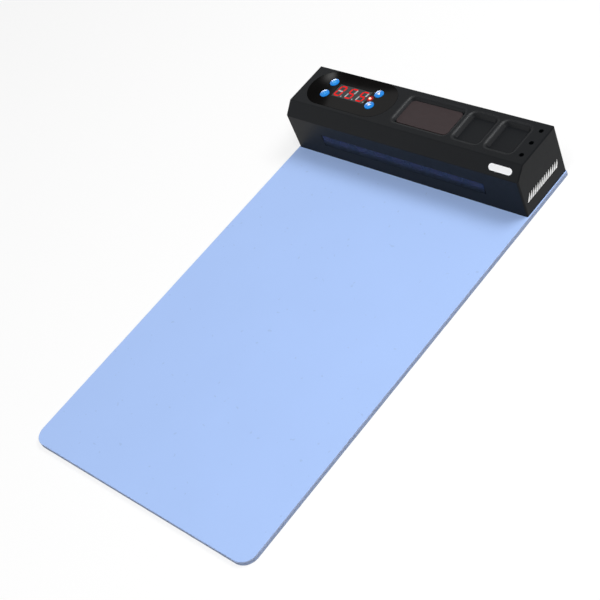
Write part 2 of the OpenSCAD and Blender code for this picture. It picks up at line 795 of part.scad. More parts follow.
// Flared cell round a lamp: a square at the board, at z = 0, that opens to a wide mouth
module flared_cell(back, mouth_w, mouth_h, depth) {
    intersection() {
        rotate([90, 0, 0]) translate([0, 0, -mouth_h])
            linear_extrude(2 * mouth_h) flare(back, mouth_w, depth);
        rotate([90, 0, 90]) translate([0, 0, -mouth_w])
            linear_extrude(2 * mouth_w) flare(back, mouth_h, depth);
    }
}

// Side outline of a flared cell, run on a little past both of its ends
module flare(back, mouth, depth) {
    polygon([
        [-back / 2, -1], [back / 2, -1], [back / 2, 0], [mouth / 2, depth], [mouth / 2, depth + 1],
        [-mouth / 2, depth + 1], [-mouth / 2, depth], [-back / 2, 0]
    ]);
}

// Strip of flared cells, one for each lamp, between the lens and the lamp board
module lamp_reflector() {
    front = inner_front + lens_t + 0.1;
    depth = lamp_board_y - 0.1 - front;
    mouth_h = slot_h - 0.4;
    color([0.6, 0.62, 0.66])
    translate([0, front + depth, slot_mid]) rotate([90, 0, 0]) difference() {
        translate([0, 0, depth / 2])
            cube([lamp_count * lamp_pitch + reflector_wall, mouth_h + 2 * reflector_wall, depth],
                center = true);
        for (i = [0:lamp_count - 1]) translate([(i - (lamp_count - 1) / 2) * lamp_pitch, 0, 0])
            flared_cell(lamp_side + 2 * reflector_gap, lamp_pitch - reflector_wall, mouth_h, depth);
    }
}

module lamp_board() {
    color([0.85, 0.87, 0.85])
    translate([0, lamp_board_y, slot_mid]) difference() {
        translate([0, lamp_board_t / 2, 0]) cube([lamp_board_w, lamp_board_t, lamp_board_h], center = true);
        for (s = [-1, 1])
            translate([s * lamp_boss_x, -1, 0]) facing_rear() cylinder(d = board_screw_d + 0.3, h = 4);
    }
}

module lamp_chips() {
    color([0.95, 0.93, 0.75])
    for (i = [0:lamp_count - 1])
        translate([(i - (lamp_count - 1) / 2) * lamp_pitch, lamp_board_y - lamp_t / 2, slot_mid])
            cube([lamp_side, lamp_t, lamp_side], center = true);
}

module lamp_resistors() {
    color([0.1, 0.1, 0.1])
    for (i = [0:lamp_count - 2])
        translate([(i - (lamp_count - 2) / 2) * lamp_pitch, lamp_board_y + lamp_board_t + 0.3, slot_mid])
            cube([3.2, 0.6, 1.6], center = true);
}

// Pan-head screw pointing up, with a cross recess in the head below it
module small_screw(shank_l) {
    difference() {
        union() {
            cylinder(d = board_screw_d, h = shank_l);
            translate([0, 0, -board_head_h]) cylinder(d = board_head_d, h = board_head_h);
        }
        translate([0, 0, -board_head_h - 0.1]) for (a = [0, 90])
            rotate([0, 0, a]) translate([-1, -0.2, 0]) cube([2, 0.4, 0.8]);
    }
}

module lamp_board_screws() {
    color([0.75, 0.76, 0.78])
    for (s = [-1, 1])
        translate([s * lamp_boss_x, lamp_board_y + lamp_board_t, slot_mid])
            rotate([90, 0, 0]) small_screw(lamp_board_t + board_screw_grip);
}

module magnet_sheet() {
    color([0.24, 0.21, 0.21])
    translate([tray_x[0], tray_y, tray_floor]) linear_extrude(magnet_t)
        rounded_rect(tray_w[0] - 2 * magnet_gap, tray_l - 2 * magnet_gap, magnet_r);
}

module control_film() {
    color([0.05, 0.05, 0.06])
    difference() {
        translate([film_x, film_y, top_z - film_t]) linear_extrude(film_t) stadium(film_w, film_l);
        translate([film_x, film_y, top_z - 1]) linear_extrude(2)
            square([display_w + 2 * seat_gap, display_l + 2 * seat_gap], center = true);
        at_buttons() translate([0, 0, top_z - 1]) cylinder(d = button_d + 2 * button_gap, h = 2);
        translate([film_x + led_offset, film_y, top_z - 1]) cylinder(d = led_d + 2 * seat_gap, h = 2);
    }
}

module display_board() {
    color([0.05, 0.3, 0.16])
    translate([film_x, film_y, display_board_top - board_t]) difference() {
        linear_extrude(board_t) rounded_rect(display_board_w, display_board_l, 1);
        at_corners(0, 0, display_screw_x, display_screw_y)
            translate([0, 0, -1]) cylinder(d = board_screw_d + 0.3, h = board_t + 2);
    }
}

// Seven-segment digits: each segment is a long hexagon, and the whole digit leans to the right
function hexagon(cx, cy, l, w, upright) = [
    for (p = [[-l / 2, 0], [-l / 2 + w / 2, -w / 2], [l / 2 - w / 2, -w / 2],
              [l / 2, 0], [l / 2 - w / 2, w / 2], [-l / 2 + w / 2, w / 2]])
        upright ? [cx - p[1], cy + p[0]] : [cx + p[0], cy + p[1]]
];
function lean(points) = [for (p = points) [p[0] + p[1] * tan(digit_slant), p[1]]];

// Centre of each segment as shares of the digit's size, and whether it stands upright:
// top, upper right, lower right, bottom, lower left, upper left, middle
SEGMENTS = [
    [0, 1, false], [1, 0.5, true], [1, -0.5, true], [0, -1, false],
    [-1, -0.5, true], [-1, 0.5, true], [0, 0, false]
];
// Which segments are lit for the digits 0 and 5
LIT_0 = [1, 1, 1, 1, 1, 1, 0];
LIT_5 = [1, 0, 1, 1, 0, 1, 1];
READING = [LIT_0, LIT_5, LIT_5];

module digit_segments(lit, wanted, shrink) {
    half_w = (digit_w - segment_w) / 2;
    half_h = (digit_h - segment_w) / 2;
    for (i = [0:6]) if (wanted < 0 || lit[i] == wanted) {
        s = SEGMENTS[i];
        l = (s[2] ? half_h : 2 * half_w) - 0.25;
        polygon(lean(
            hexagon(s[0] * half_w, s[1] * half_h, l - 2 * shrink, segment_w - 2 * shrink, s[2])
        ));
    }
}

module reading(wanted, shrink) {
    for (i = [0:2]) translate([(i - 1) * digit_pitch - 0.3, 0]) digit_segments(READING[i], wanted, shrink);
}

module decimal_points(shrink) {
    for (i = [0:2])
        translate([(i - 1) * digit_pitch + digit_w / 2 + 0.45, -digit_h / 2 + 0.55])
            circle(r = 0.5 - shrink);
}

module display_block() {
    color([0.2, 0.2, 0.22])
    translate([film_x, film_y, display_board_top]) difference() {
        translate([0, 0, display_h / 2]) cube([display_w, display_l, display_h], center = true);
        translate([0, 0, display_h - segment_t]) linear_extrude(1) {
            reading(-1, 0);
            decimal_points(0);
        }
    }
}

module lit_segments() {
    color([0.95, 0.15, 0.15])
    translate([film_x, film_y, face_z - segment_t]) linear_extrude(segment_t) reading(1, 0.03);
}

module unlit_segments() {
    color([0.75, 0.75, 0.78])
    translate([film_x, film_y, face_z - segment_t]) linear_extrude(segment_t) {
        reading(0, 0.03);
        decimal_points(0.03);
    }
}

module status_lamp() {
    color([0.95, 0.1, 0.1])
    translate([film_x + led_offset, film_y, display_board_top]) {
        cylinder(d = led_d + 0.8, h = 1.2);
        cylinder(d = led_d, h = top_z - display_board_top - 0.3);
        translate([0, 0, top_z - display_board_top - 0.3]) intersection() {
            sphere(d = led_d);
            translate([0, 0, led_d / 2]) cube(led_d, center = true);
        }
    }
}

// Domed cap of a push button, with the flange that keeps it in
module button_cap() {
    rim_z = top_z + button_rim_h;
    dome_r = (pow(button_d / 2, 2) + dome_h * dome_h) / (2 * dome_h);
    translate([0, 0, flange_bottom]) cylinder(d = button_flange_d, h = button_flange_t);
    translate([0, 0, flange_bottom]) cylinder(d = button_d, h = rim_z - flange_bottom);
    intersection() {
        translate([0, 0, rim_z + dome_h - dome_r]) sphere(r = dome_r, $fn = 96);
        translate([0, 0, rim_z - 0.01]) cylinder(d = button_d, h = dome_h + 1);
    }
}

module button_power() {
    color([0.1, 0.55, 0.92]) at_button(0) button_cap();
}

module button_set() {
    color([0.1, 0.55, 0.92]) at_button(1) button_cap();
}

module button_up() {
    color([0.1, 0.55, 0.92]) at_button(2) button_cap();
}

module button_down() {
    color([0.1, 0.55, 0.92]) at_button(3) button_cap();
}

module plunger() {
    translate([0, 0, plunger_bottom]) cylinder(d = plunger_d, h = flange_bottom - plunger_bottom);
}

module plunger_power() {
    color([0.9, 0.9, 0.88]) at_button(0) plunger();
}

module plunger_set() {
    color([0.9, 0.9, 0.88]) at_button(1) plunger();
}

module plunger_up() {
    color([0.9, 0.9, 0.88]) at_button(2) plunger();
}

module plunger_down() {
    color([0.9, 0.9, 0.88]) at_button(3) plunger();
}

// Fixed cans of the four momentary switches on the display board
module switch_cans() {
    color([0.15, 0.15, 0.16])
    at_buttons() translate([0, 0, display_board_top]) difference() {
        translate([0, 0, can_h / 2]) cube([can_side, can_side, can_h], center = true);
        translate([0, 0, can_h - plunger_sink - button_travel - 0.2])
            cylinder(d = plunger_d + 0.2, h = can_h);
    }
}

module display_board_screws() {
    color([0.75, 0.76, 0.78])
    at_corners(film_x, film_y, display_screw_x, display_screw_y)
        translate([0, 0, display_board_top - board_t]) small_screw(board_t + board_screw_grip);
}

module microcontroller() {
    chip_t = 1.4;
    legs = 8;
    color([0.08, 0.08, 0.09])
    translate([film_x + 6, film_y - 2, display_board_top - board_t - 0.2 - chip_t / 2]) {
        cube([chip_l, chip_w, chip_t], center = true);
        for (i = [0:legs - 1], s = [-1, 1])
            translate([(i - (legs - 1) / 2) * chip_l * 0.12, s * (chip_w / 2 + 0.4), 0.5])
                cube([0.45, 1.2, 0.8], center = true);
    }
}

module control_board() {
    color([0.05, 0.3, 0.16])
    translate([control_x, control_y, control_bottom]) difference() {
        linear_extrude(board_t) rounded_rect(control_board_w, control_board_l, 1);
        at_corners(0, 0, control_screw_x, control_screw_y)
            translate([0, 0, -1]) cylinder(d = board_screw_d + 0.3, h = board_t + 2);
    }
}

module control_board_screws() {
    color([0.75, 0.76, 0.78])
    at_corners(control_x, control_y, control_screw_x, control_screw_y)
        translate([0, 0, control_top]) rotate([180, 0, 0]) small_screw(board_t + standoff_h);
}

// Laminated core: a frame with a middle limb, the coil sits in its two windows
module transformer_core() {
    limb = core_w / 6;
    color([0.45, 0.46, 0.48])
    translate([core_x, control_y, control_top]) difference() {
        translate([0, 0, core_h / 2]) cube([core_w, core_d, core_h], center = true);
        for (s = [-1, 1])
            translate([s * (limb * 1.5 + limb / 2), 0, core_h / 2])
                cube([limb * 1.6, core_d + 1, core_h - 2 * limb], center = true);
    }
}

module transformer_coil() {
    limb = core_w / 6;
    gap = 0.15;
    window_h = core_h - 2 * limb - 2 * gap;
    outer_w = 2 * (limb * 2 + limb * 0.8 - gap);
    color([0.7, 0.62, 0.3])
    translate([core_x, control_y, control_top + core_h / 2]) difference() {
        cube([outer_w, coil_d, window_h], center = true);
        cube([limb * 2.4 + 2 * gap, core_d + 2 * gap, window_h + 1], center = true);
    }
}

module relay() {
    color([0.1, 0.25, 0.6])
    translate([relay_x, control_y, control_top]) {
        translate([-relay_w / 2, -relay_d / 2, 0.4]) cube([relay_w, relay_d, relay_h - 0.4]);
        for (sx = [-1, 1], sy = [-1, 1])
            translate([sx * (relay_w / 2 - 1), sy * (relay_d / 2 - 1), 0.2])
                cube([1.4, 1.4, 0.4], center = true);
    }
}

module fuse() {
    cap_l = 5;
    color([0.85, 0.87, 0.88])
    translate([fuse_x, control_y, fuse_z]) rotate([90, 0, 0]) {
        cylinder(d = fuse_d - 0.5, h = fuse_l - 2, center = true);
        for (s = [-1, 1])
            translate([0, 0, s * (fuse_l - cap_l) / 2]) cylinder(d = fuse_d, h = cap_l, center = true);
    }
}

module fuse_clips() {
    clip_l = 3.6;
    clip_h = fuse_z - control_top + 1.2;
    color([0.78, 0.66, 0.35])
    for (s = [-1, 1])
        translate([fuse_x, control_y + s * (fuse_l / 2 - 2.5), control_top]) difference() {
            translate([0, 0, clip_h / 2]) cube([clip_w, clip_l, clip_h], center = true);
            translate([0, 0, fuse_z - control_top]) rotate([90, 0, 0])
                cylinder(d = fuse_d + 0.1, h = clip_l + 2, center = true);
            translate([0, 0, clip_h]) cube([fuse_d - 1.2, clip_l + 2, 2 * fuse_d], center = true);
        }
}

module capacitors() {
    color([0.2, 0.22, 0.35])
    for (s = [-1, 1])
        translate([capacitor_x, control_y + s * (capacitor_rim_d / 2 + 0.5), control_top]) {
            cylinder(d = capacitor_d, h = capacitor_h);
            cylinder(d = capacitor_rim_d, h = 1);
        }
}

module suppressor() {
    color([0.75, 0.6, 0.1])
    translate([suppressor_x, control_y, control_top + suppressor_h / 2])
        cube([suppressor_w, suppressor_l, suppressor_h], center = true);
}

module terminal_block() {
    length = terminal_poles * terminal_pitch;
    color([0.15, 0.5, 0.25])
    translate([terminal_x, terminal_y, control_top]) difference() {
        rotate([90, 0, 0]) translate([0, 0, -length / 2]) linear_extrude(length)
            polygon([
                [-terminal_w / 2, 0], [terminal_w / 2, 0], [terminal_w / 2, terminal_h - 2.5],
                [terminal_w / 2 - 2, terminal_h], [-terminal_w / 2 + 1, terminal_h],
                [-terminal_w / 2, terminal_h - 3]
            ]);
        for (y = terminal_entry_y) translate([0, y - terminal_y, 0]) {
            translate([-terminal_w / 2 - 1, 0, terminal_entry_z - control_top]) rotate([0, 90, 0])
                cylinder(d = 2.8, h = 4);
            translate([0, 0, terminal_h - 2]) cylinder(d = 3.4, h = 3);
        }
    }
}

module power_inlet() {
    chamfer = 4.5;
    mw = inlet_mouth_w / 2;
    mh = inlet_mouth_h / 2;
    fw = 15;
    fh = inlet_flange_h / 2;
    neck = inlet_screw_pitch / 2 + inlet_ear_r * 0.5;
    neck_h = inlet_ear_r * 0.866;
    color([0.1, 0.1, 0.11])
    translate([inlet_x, rear_y, rear_z]) difference() {
        union() {
            rotate([90, 0, 0]) translate([0, 0, -inlet_flange_t]) linear_extrude(inlet_flange_t) {
                polygon([[-fw, -fh], [fw, -fh], [neck, -neck_h], [neck, neck_h],
                         [fw, fh], [-fw, fh], [-neck, neck_h], [-neck, -neck_h]]);
                for (s = [-1, 1]) translate([s * inlet_screw_pitch / 2, 0]) circle(r = inlet_ear_r);
            }
            translate([0, (inlet_back - rear_y) / 2, 0])
                cube([inlet_body_w, rear_y - inlet_back, inlet_body_h], center = true);
        }
        rotate([90, 0, 0]) translate([0, 0, -inlet_flange_t - 1]) linear_extrude(inlet_depth + 1)
            polygon([[-mw, -mh], [mw, -mh], [mw, mh - chamfer], [mw - chamfer, mh],
                     [-mw + chamfer, mh], [-mw, mh - chamfer]]);
        for (c = contact_xz)
            translate([c[0], inlet_back - rear_y + inlet_floor_t / 2, c[1]])
                cube([contact_thick + 0.1, inlet_floor_t + 2, contact_w + 0.1], center = true);
        inlet_ears() facing_rear() translate([0, 0, -1])
            cylinder(d = inlet_screw_d + 0.4, h = inlet_flange_t + 2);
    }
}

module contact_pins() {
    blade_l = inlet_floor_t + contact_l;
    color([0.82, 0.76, 0.55])
    for (c = contact_xz) translate([inlet_x + c[0], inlet_back, rear_z + c[1]]) {
        translate([0, blade_l / 2, 0]) cube([contact_thick, blade_l, contact_w], center = true);
        translate([0, -tab_l / 2, 0]) cube([tab_thick, tab_l, tab_w], center = true);
    }
}

module inlet_screws() {
    shank = inlet_flange_t + wall_t + nut_t + 1.5;
    color([0.75, 0.76, 0.78])
    translate([inlet_x, inlet_face, rear_z]) inlet_ears() {
        rotate([90, 0, 0]) cylinder(d = inlet_screw_d, h = shank);
        difference() {
            facing_rear() cylinder(d = inlet_screw_d * 1.85, h = 1.9);
            translate([0, 1.9, 0]) for (a = [0, 90])
                rotate([0, a, 0]) cube([2.8, 2, 0.6], center = true);
        }
    }
}

module inlet_nuts() {
    color([0.75, 0.76, 0.78])
    translate([inlet_x, inner_rear, rear_z]) inlet_ears() rotate([90, 0, 0]) difference() {
        cylinder(d = nut_across / cos(30), h = nut_t, $fn = 6);
        translate([0, 0, -1]) cylinder(d = inlet_screw_d + 2 * pin_gap, h = nut_t + 2);
    }
}

module switch_frame() {
    bezel_r = 1.2;
    cavity_l = rear_y + bezel_t + 1 - rocker_cavity_y;
    color([0.1, 0.1, 0.11])
    translate([switch_x, rear_y, rear_z]) difference() {
        union() {
            rotate([90, 0, 0]) translate([0, 0, -bezel_t]) linear_extrude(bezel_t)
                rounded_rect(bezel_w, bezel_h, bezel_r);
            translate([0, -switch_d / 2, 0]) cube([switch_w, switch_d, switch_h], center = true);
        }
        translate([0, bezel_t + 1 - cavity_l / 2, 0])
            cube([2 * (rocker_r + rocker_gap), cavity_l, rocker_h + 2 * rocker_gap], center = true);
        translate([0, pivot_y - rear_y, 0])
            cylinder(d = pivot_d + 2 * pin_gap, h = rocker_h + 2 * (rocker_gap + pivot_pin_l),
                center = true);
    }
}

// Rocker: a round-ended block on two pins, its two faces meet in a shallow valley
module rocker() {
    rise = tan(rocker_tilt) * rocker_r;
    color([0.12, 0.12, 0.13])
    translate([switch_x, pivot_y, rear_z]) rotate([0, 0, rocker_tilt]) {
        translate([0, 0, -rocker_h / 2]) linear_extrude(rocker_h) intersection() {
            circle(r = rocker_r);
            polygon([
                [-rocker_r, -3], [rocker_r, -3], [rocker_r, rocker_mid + rise],
                [0, rocker_mid], [-rocker_r, rocker_mid + rise]
            ]);
        }
        cylinder(d = pivot_d, h = rocker_h + 2 * (rocker_gap + pivot_pin_l) - 0.2, center = true);
    }
}

module switch_tabs() {
    color([0.82, 0.76, 0.55])
    for (s = [-1, 1])
        translate([switch_x + s * switch_tab_pitch / 2, switch_back - tab_l / 2, rear_z])
            cube([tab_thick, tab_l, tab_w], center = true);
}

// Smooth curve through hand-placed points, and a round tube along it
function between(p, i, t) =
    let (a = p[max(i - 1, 0)], b = p[i], c = p[i + 1], d = p[min(i + 2, len(p) - 1)])
    0.5 * (2 * b + (c - a) * t + (2 * a - 5 * b + 4 * c - d) * t * t + (3 * b - a - 3 * c + d) * t * t * t);
function smooth(p, steps) = concat(
    [for (i = [0:len(p) - 2], k = [0:steps - 1]) between(p, i, k / steps)],
    [p[len(p) - 1]]
);
function unit(v) = v / norm(v);

module tube(points, d, steps, aside) {
    sides = 8;
    path = smooth(points, steps);
    last = len(path) - 1;
    rings = [for (i = [0:last])
        let (t = unit(path[min(i + 1, last)] - path[max(i - 1, 0)]),
             u = unit(cross(t, aside)),
             v = cross(t, u))
        for (k = [0:sides - 1]) path[i] + d / 2 * (u * cos(k * 360 / sides) + v * sin(k * 360 / sides))];
    skin = [for (i = [0:last - 1], k = [0:sides - 1])
        let (a = i * sides + k, b = i * sides + (k + 1) % sides)
        each [[a, a + sides, b + sides], [a, b + sides, b]]];
    polyhedron(
        points = rings,
        faces = concat([[for (k = [0:sides - 1]) k]], skin,
            [[for (k = [sides - 1:-1:0]) last * sides + k]])
    );
}

module heater_leads() {
    start_z = heater_z + heater_pocket_t + 0.05;
    color([0.75, 0.2, 0.15])
    for (i = [0, 1]) {
        x = lead_x + (i * 2 - 1) * lead_pitch / 2;
        stop = [terminal_x - terminal_w / 2 + 1, terminal_entry_y[i], terminal_entry_z];
        tube([
            [x, lead_y - 0.6, start_z],
            [x, lead_y - 0.6, base_top + 2],
            [x + 0.8, lead_y - 1.8 + 2.2 * i, terminal_entry_z - 2.2],
            [stop[0] - 3.6, stop[1] - 2.6, stop[2] + 0.2],
            stop - [1.5, 0.2, 0],
            stop
        ], lead_d, 4, [0.3, 1, 0.25]);
    }
}

module sensor_lead() {
    z0 = mat_bottom_t - thin_lead_d / 2 - 0.05;
    color([0.85, 0.85, 0.82])
    tube([
        [lead_x, sensor_y + sensor_l / 2 + 0.05, z0],
        [lead_x, sensor_y + sensor_reach / 2, z0],
        [lead_x, lead_y - 3, z0],
        [lead_x, sensor_lead_y - 0.45, z0 + 0.05],
        [lead_x, sensor_lead_y + 0.1, z0 + 1.3],
        [lead_x, sensor_lead_y + 0.2, base_top + 1],
        [lead_x, sensor_lead_y + 0.8, base_top + 8],
        [lead_x, sensor_lead_y + 1.2, display_board_top - board_t - 0.05]
    ], thin_lead_d, 4, [1, 0.1, 0.05]);
}

module switch_wires() {
    color([0.1, 0.1, 0.1])
    for (i = [0, 1]) {
        x = switch_x + (1 - 2 * i) * switch_tab_pitch / 2;
        y = switch_back - tab_l;
        stop = [terminal_x - terminal_w / 2 + 1, terminal_entry_y[2 + i], terminal_entry_z];
        tube([
            [x, y - 0.5, rear_z],
            [x, y - 1.5, rear_z],
            [x + 3 + 3 * i, y - 2.2 - 1.6 * i, rear_z + 1 + 2.4 * i],
            [lead_x - 4.5, y + 0.5, rear_z + 1 + 2.4 * i],
            [lead_x + 0.2, y + 6.2 + 1.6 * i, rear_z + 2.5 * i],
            [stop[0] - 3.6, stop[1] - 0.8, stop[2] + 1.6 + i],
            stop - [1.4, 0, 0],
            stop
        ], lead_d, 4, [0.1, 0.15, 1]);
    }
}

module mains_wires() {
    y = control_y - control_board_l / 2 + 1.4;
    color([0.35, 0.22, 0.12])
    for (i = [0, 1]) {
        x = inlet_x + (i * 2 - 1) * contact_pitch;
        z = rear_z - contact_drop;
        end_x = core_x - core_w / 2 + 2.4 - 3 * i;
        run_z = control_top + 4.4 + 4 * i;
        tube([
            [x, inlet_back - tab_l - 0.5, z],
            [x, inlet_back - tab_l - 1.8, z],
            [x - 4 - 3 * i, y, z - 1.2 + 2.8 * i],
            [inlet_x - inlet_body_w / 2 - 6, y, run_z],
            [core_x + core_w / 2 + 3, y, run_z],
            [end_x + 3.5, y, run_z],
            [end_x + 0.5, y, run_z - 2],
            [end_x, y, control_top + 0.05]
        ], lead_d, 4, [0.05, 1, 0.1]);
    }
}

module lamp_leads() {
    y0 = lamp_board_y + lamp_board_t + 0.15;
    y1 = control_y - control_board_l / 2 + 1.6;
    color([0.8, 0.8, 0.2])
    for (i = [0, 1]) {
        x = control_x0 + 8.4 + 1.5 * i;
        tube([
            [x, y0, slot_mid - 1],
            [x, y0 + 0.8, slot_mid - 1],
            [x, y1 - 0.3, slot_mid - 2.6],
            [x, y1, control_top + 1.6],
            [x, y1, control_top + 0.05]
        ], thin_lead_d, 4, [1, 0.1, 0.1]);
    }
}

// Flat cable between the two boards, bent once to each side
module display_ribbon() {
    z0 = control_top + 0.05;
    z1 = display_board_top - board_t - 0.05;
    ribbon_w = 7;
    bends = 16;
    mid = [for (i = [0:bends]) [ribbon_bow * sin(i * 360 / bends), z0 + (z1 - z0) * i / bends]];
    color([0.6, 0.6, 0.64])
    translate([ribbon_x, control_y + 1.5, 0]) rotate([90, 0, 0]) linear_extrude(ribbon_w)
        polygon(concat(
            [for (p = mid) p + [ribbon_t / 2, 0]],
            [for (i = [bends:-1:0]) mid[i] - [ribbon_t / 2, 0]]
        ));
}

mat_top_sheet();
mat_bottom_sheet();
heater_carrier();
heater_track();
temperature_sensor();
lead_bush();
base_plate();
housing();
case_screws();
lamp_lens();
lamp_reflector();
lamp_board();
lamp_chips();
lamp_resistors();
lamp_board_screws();
magnet_sheet();
control_film();
display_board();
display_block();
lit_segments();
unlit_segments();
status_lamp();
button_power();
button_set();
button_up();
button_down();
plunger_power();
plunger_set();
plunger_up();
plunger_down();
switch_cans();
display_board_screws();
microcontroller();
control_board();
control_board_screws();
transformer_core();
transformer_coil();
relay();
fuse();
fuse_clips();
capacitors();
suppressor();
terminal_block();
power_inlet();
contact_pins();
inlet_screws();
inlet_nuts();
switch_frame();
rocker();
switch_tabs();
heater_leads();
sensor_lead();
switch_wires();
mains_wires();
lamp_leads();
display_ribbon();
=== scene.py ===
"""Looks of the silicone heating pad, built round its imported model. Metres, in the model's own frame."""

import json
import math

import bmesh
import bpy
from mathutils import Euler, Matrix, Vector, noise


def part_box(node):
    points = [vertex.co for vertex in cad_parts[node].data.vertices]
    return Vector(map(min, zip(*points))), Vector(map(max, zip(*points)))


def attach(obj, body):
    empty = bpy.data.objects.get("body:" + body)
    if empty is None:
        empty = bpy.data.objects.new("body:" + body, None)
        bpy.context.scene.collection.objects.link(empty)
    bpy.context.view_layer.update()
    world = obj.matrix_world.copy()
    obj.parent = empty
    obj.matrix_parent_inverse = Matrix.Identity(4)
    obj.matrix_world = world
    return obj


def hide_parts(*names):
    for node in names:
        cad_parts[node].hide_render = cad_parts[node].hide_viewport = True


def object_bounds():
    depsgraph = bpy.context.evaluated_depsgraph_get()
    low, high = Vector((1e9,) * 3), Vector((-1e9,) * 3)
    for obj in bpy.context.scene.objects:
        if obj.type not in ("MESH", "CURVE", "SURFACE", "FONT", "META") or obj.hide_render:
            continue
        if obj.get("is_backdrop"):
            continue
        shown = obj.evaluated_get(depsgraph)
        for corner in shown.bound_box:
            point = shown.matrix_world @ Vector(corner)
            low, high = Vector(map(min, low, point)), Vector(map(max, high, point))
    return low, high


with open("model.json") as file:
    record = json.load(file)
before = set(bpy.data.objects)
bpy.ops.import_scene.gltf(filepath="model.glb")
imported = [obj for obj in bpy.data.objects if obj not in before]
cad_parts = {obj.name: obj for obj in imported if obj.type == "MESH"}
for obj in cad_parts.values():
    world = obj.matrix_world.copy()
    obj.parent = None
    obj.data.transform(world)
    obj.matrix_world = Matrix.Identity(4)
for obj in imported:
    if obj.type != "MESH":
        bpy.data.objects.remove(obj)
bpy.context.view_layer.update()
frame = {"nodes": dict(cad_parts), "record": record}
nodes = frame["nodes"]
MM = 0.001
MICRON = 1e-6
ACROSS = Vector((1, 0, 0))
REARWARD = Vector((0, 1, 0))
FRONTWARD = Vector((0, -1, 0))
UP = Vector((0, 0, 1))

# Places read from the frame
mat_low, mat_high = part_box("mat_top_sheet")
under_low, under_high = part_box("mat_bottom_sheet")
house_low, house_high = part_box("housing")
lens_low, lens_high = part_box("lamp_lens")
magnet_low, magnet_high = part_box("magnet_sheet")
lamp_low, lamp_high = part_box("status_lamp")
rocker_low, rocker_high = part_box("rocker")
TOP_Z = house_high.z

# Sizes that the boxes don't give
MAT_FRONT_RADIUS = 9 * MM
MAT_REAR_RADIUS = 0.8 * MM
MAGNET_RADIUS = 2.8 * MM
BEVEL_DEPTH = 7.6 * MM
BEVEL_HEIGHT = 7.2 * MM
LENS_LIP = 1.6 * MM
LAMP_PITCH = 14.4 * MM
BUTTON_DIAMETER = 6.2 * MM
DOME_HEIGHT = 0.5 * MM
INK = 0.02 * MM
SKIN = 0.01 * MM
OUTLINE_STEP = 1.5 * MM

# Camera: the photograph's viewing angle
CAMERA_AT = Vector((0.49649, -0.29290, 0.55745))
CAMERA_TURN = (41.909, 20.636, 41.534)
camera_data = bpy.data.cameras.new("camera")
camera_data.sensor_width = 36
camera_data.lens = 81.904
camera_data.shift_x = 0.0878
camera_data.shift_y = 0.0675
camera = bpy.data.objects.new("camera", camera_data)
camera.location = CAMERA_AT
camera.rotation_euler = Euler([math.radians(a) for a in CAMERA_TURN])
bpy.context.scene.collection.objects.link(camera)
bpy.context.scene.camera = camera
bpy.context.scene.view_settings.view_transform = "Standard"


# Mesh helpers

def mesh_object(name, points, faces, smooth=False):
    """A new object from points and faces."""
    mesh = bpy.data.meshes.new(name)
    mesh.from_pydata([tuple(p) for p in points], [], faces)
    mesh.update()
    if smooth:
        mesh.polygons.foreach_set("use_smooth", [True] * len(mesh.polygons))
    thing = bpy.data.objects.new(name, mesh)
    bpy.context.scene.collection.objects.link(thing)
    return thing


def rounded_outline(low, high, radii, step):
    """Points and outward directions round a rectangle, anticlockwise from its front left corner."""
    corners = [
        (low.x, low.y, 180, radii[0]), (high.x, low.y, 270, radii[1]),
        (high.x, high.y, 0, radii[2]), (low.x, high.y, 90, radii[3]),
    ]
    arcs = []
    for x, y, start, r in corners:
        middle = Vector((x + (r if x == low.x else -r), y + (r if y == low.y else -r)))
        turns = max(4, round(r * math.pi / 2 / step))
        arcs.append([
            (middle, Vector((math.cos(a), math.sin(a))), r)
            for a in (math.radians(start + 90 * i / turns) for i in range(turns + 1))
        ])
    outline = []
    for i, arc in enumerate(arcs):
        outline += [(m + d * r, d) for m, d, r in arc]
        m, d, r = arc[-1]
        m2, d2, r2 = arcs[(i + 1) % 4][0]
        a, b = m + d * r, m2 + d2 * r2
        parts = max(1, round((b - a).length / step))
        outline += [(a.lerp(b, k / parts), d) for k in range(1, parts)]
    return outline


def ring_slab(name, outline, profile, wander):
    """A closed slab. profile lists (inset, height) from the bottom up.
    wander(point, height) is added to the inset."""
    count = len(outline)
    points = []
    for inset, z in profile:
        for p, d in outline:
            q = p - d * (inset + wander(p, z))
            points.append((q.x, q.y, z))
    faces = [tuple(reversed(range(count)))]
    for ring in range(len(profile) - 1):
        a, b = ring * count, (ring + 1) * count
        for i in range(count):
            j = (i + 1) % count
            faces.append((a + i, a + j, b + j, b + i))
    top = (len(profile) - 1) * count
    faces.append(tuple(range(top, top + count)))
    slab = mesh_object(name, points, faces)
    smooth = [False] + [True] * (len(faces) - 2) + [False]
    slab.data.polygons.foreach_set("use_smooth", smooth)
    return slab


def edge_profile(edge, low, high):
    """Profile of a slab between two heights from (inset, height) in mm. The height counts from the lower
    face if it is positive, and otherwise from the upper one."""
    return [(inset * MM, (low.z if height > 0 else high.z) + height * MM) for inset, height in edge]


def cut_like(piece, node):
    """Keep only what lies inside a CAD node, so that its holes and pockets are in the piece too."""
    pattern = bpy.data.objects.new("pattern", nodes[node].data.copy())
    pattern.data.materials.clear()
    bpy.context.scene.collection.objects.link(pattern)
    modifier = piece.modifiers.new("cut", "BOOLEAN")
    modifier.operation = "INTERSECT"
    modifier.solver = "EXACT"
    modifier.object = pattern
    bpy.context.view_layer.update()
    shape = piece.evaluated_get(bpy.context.evaluated_depsgraph_get())
    piece.modifiers.clear()
    old = piece.data
    piece.data = bpy.data.meshes.new_from_object(shape)
    piece.data.name = piece.name
    bpy.data.meshes.remove(old)
    bpy.data.objects.remove(pattern)


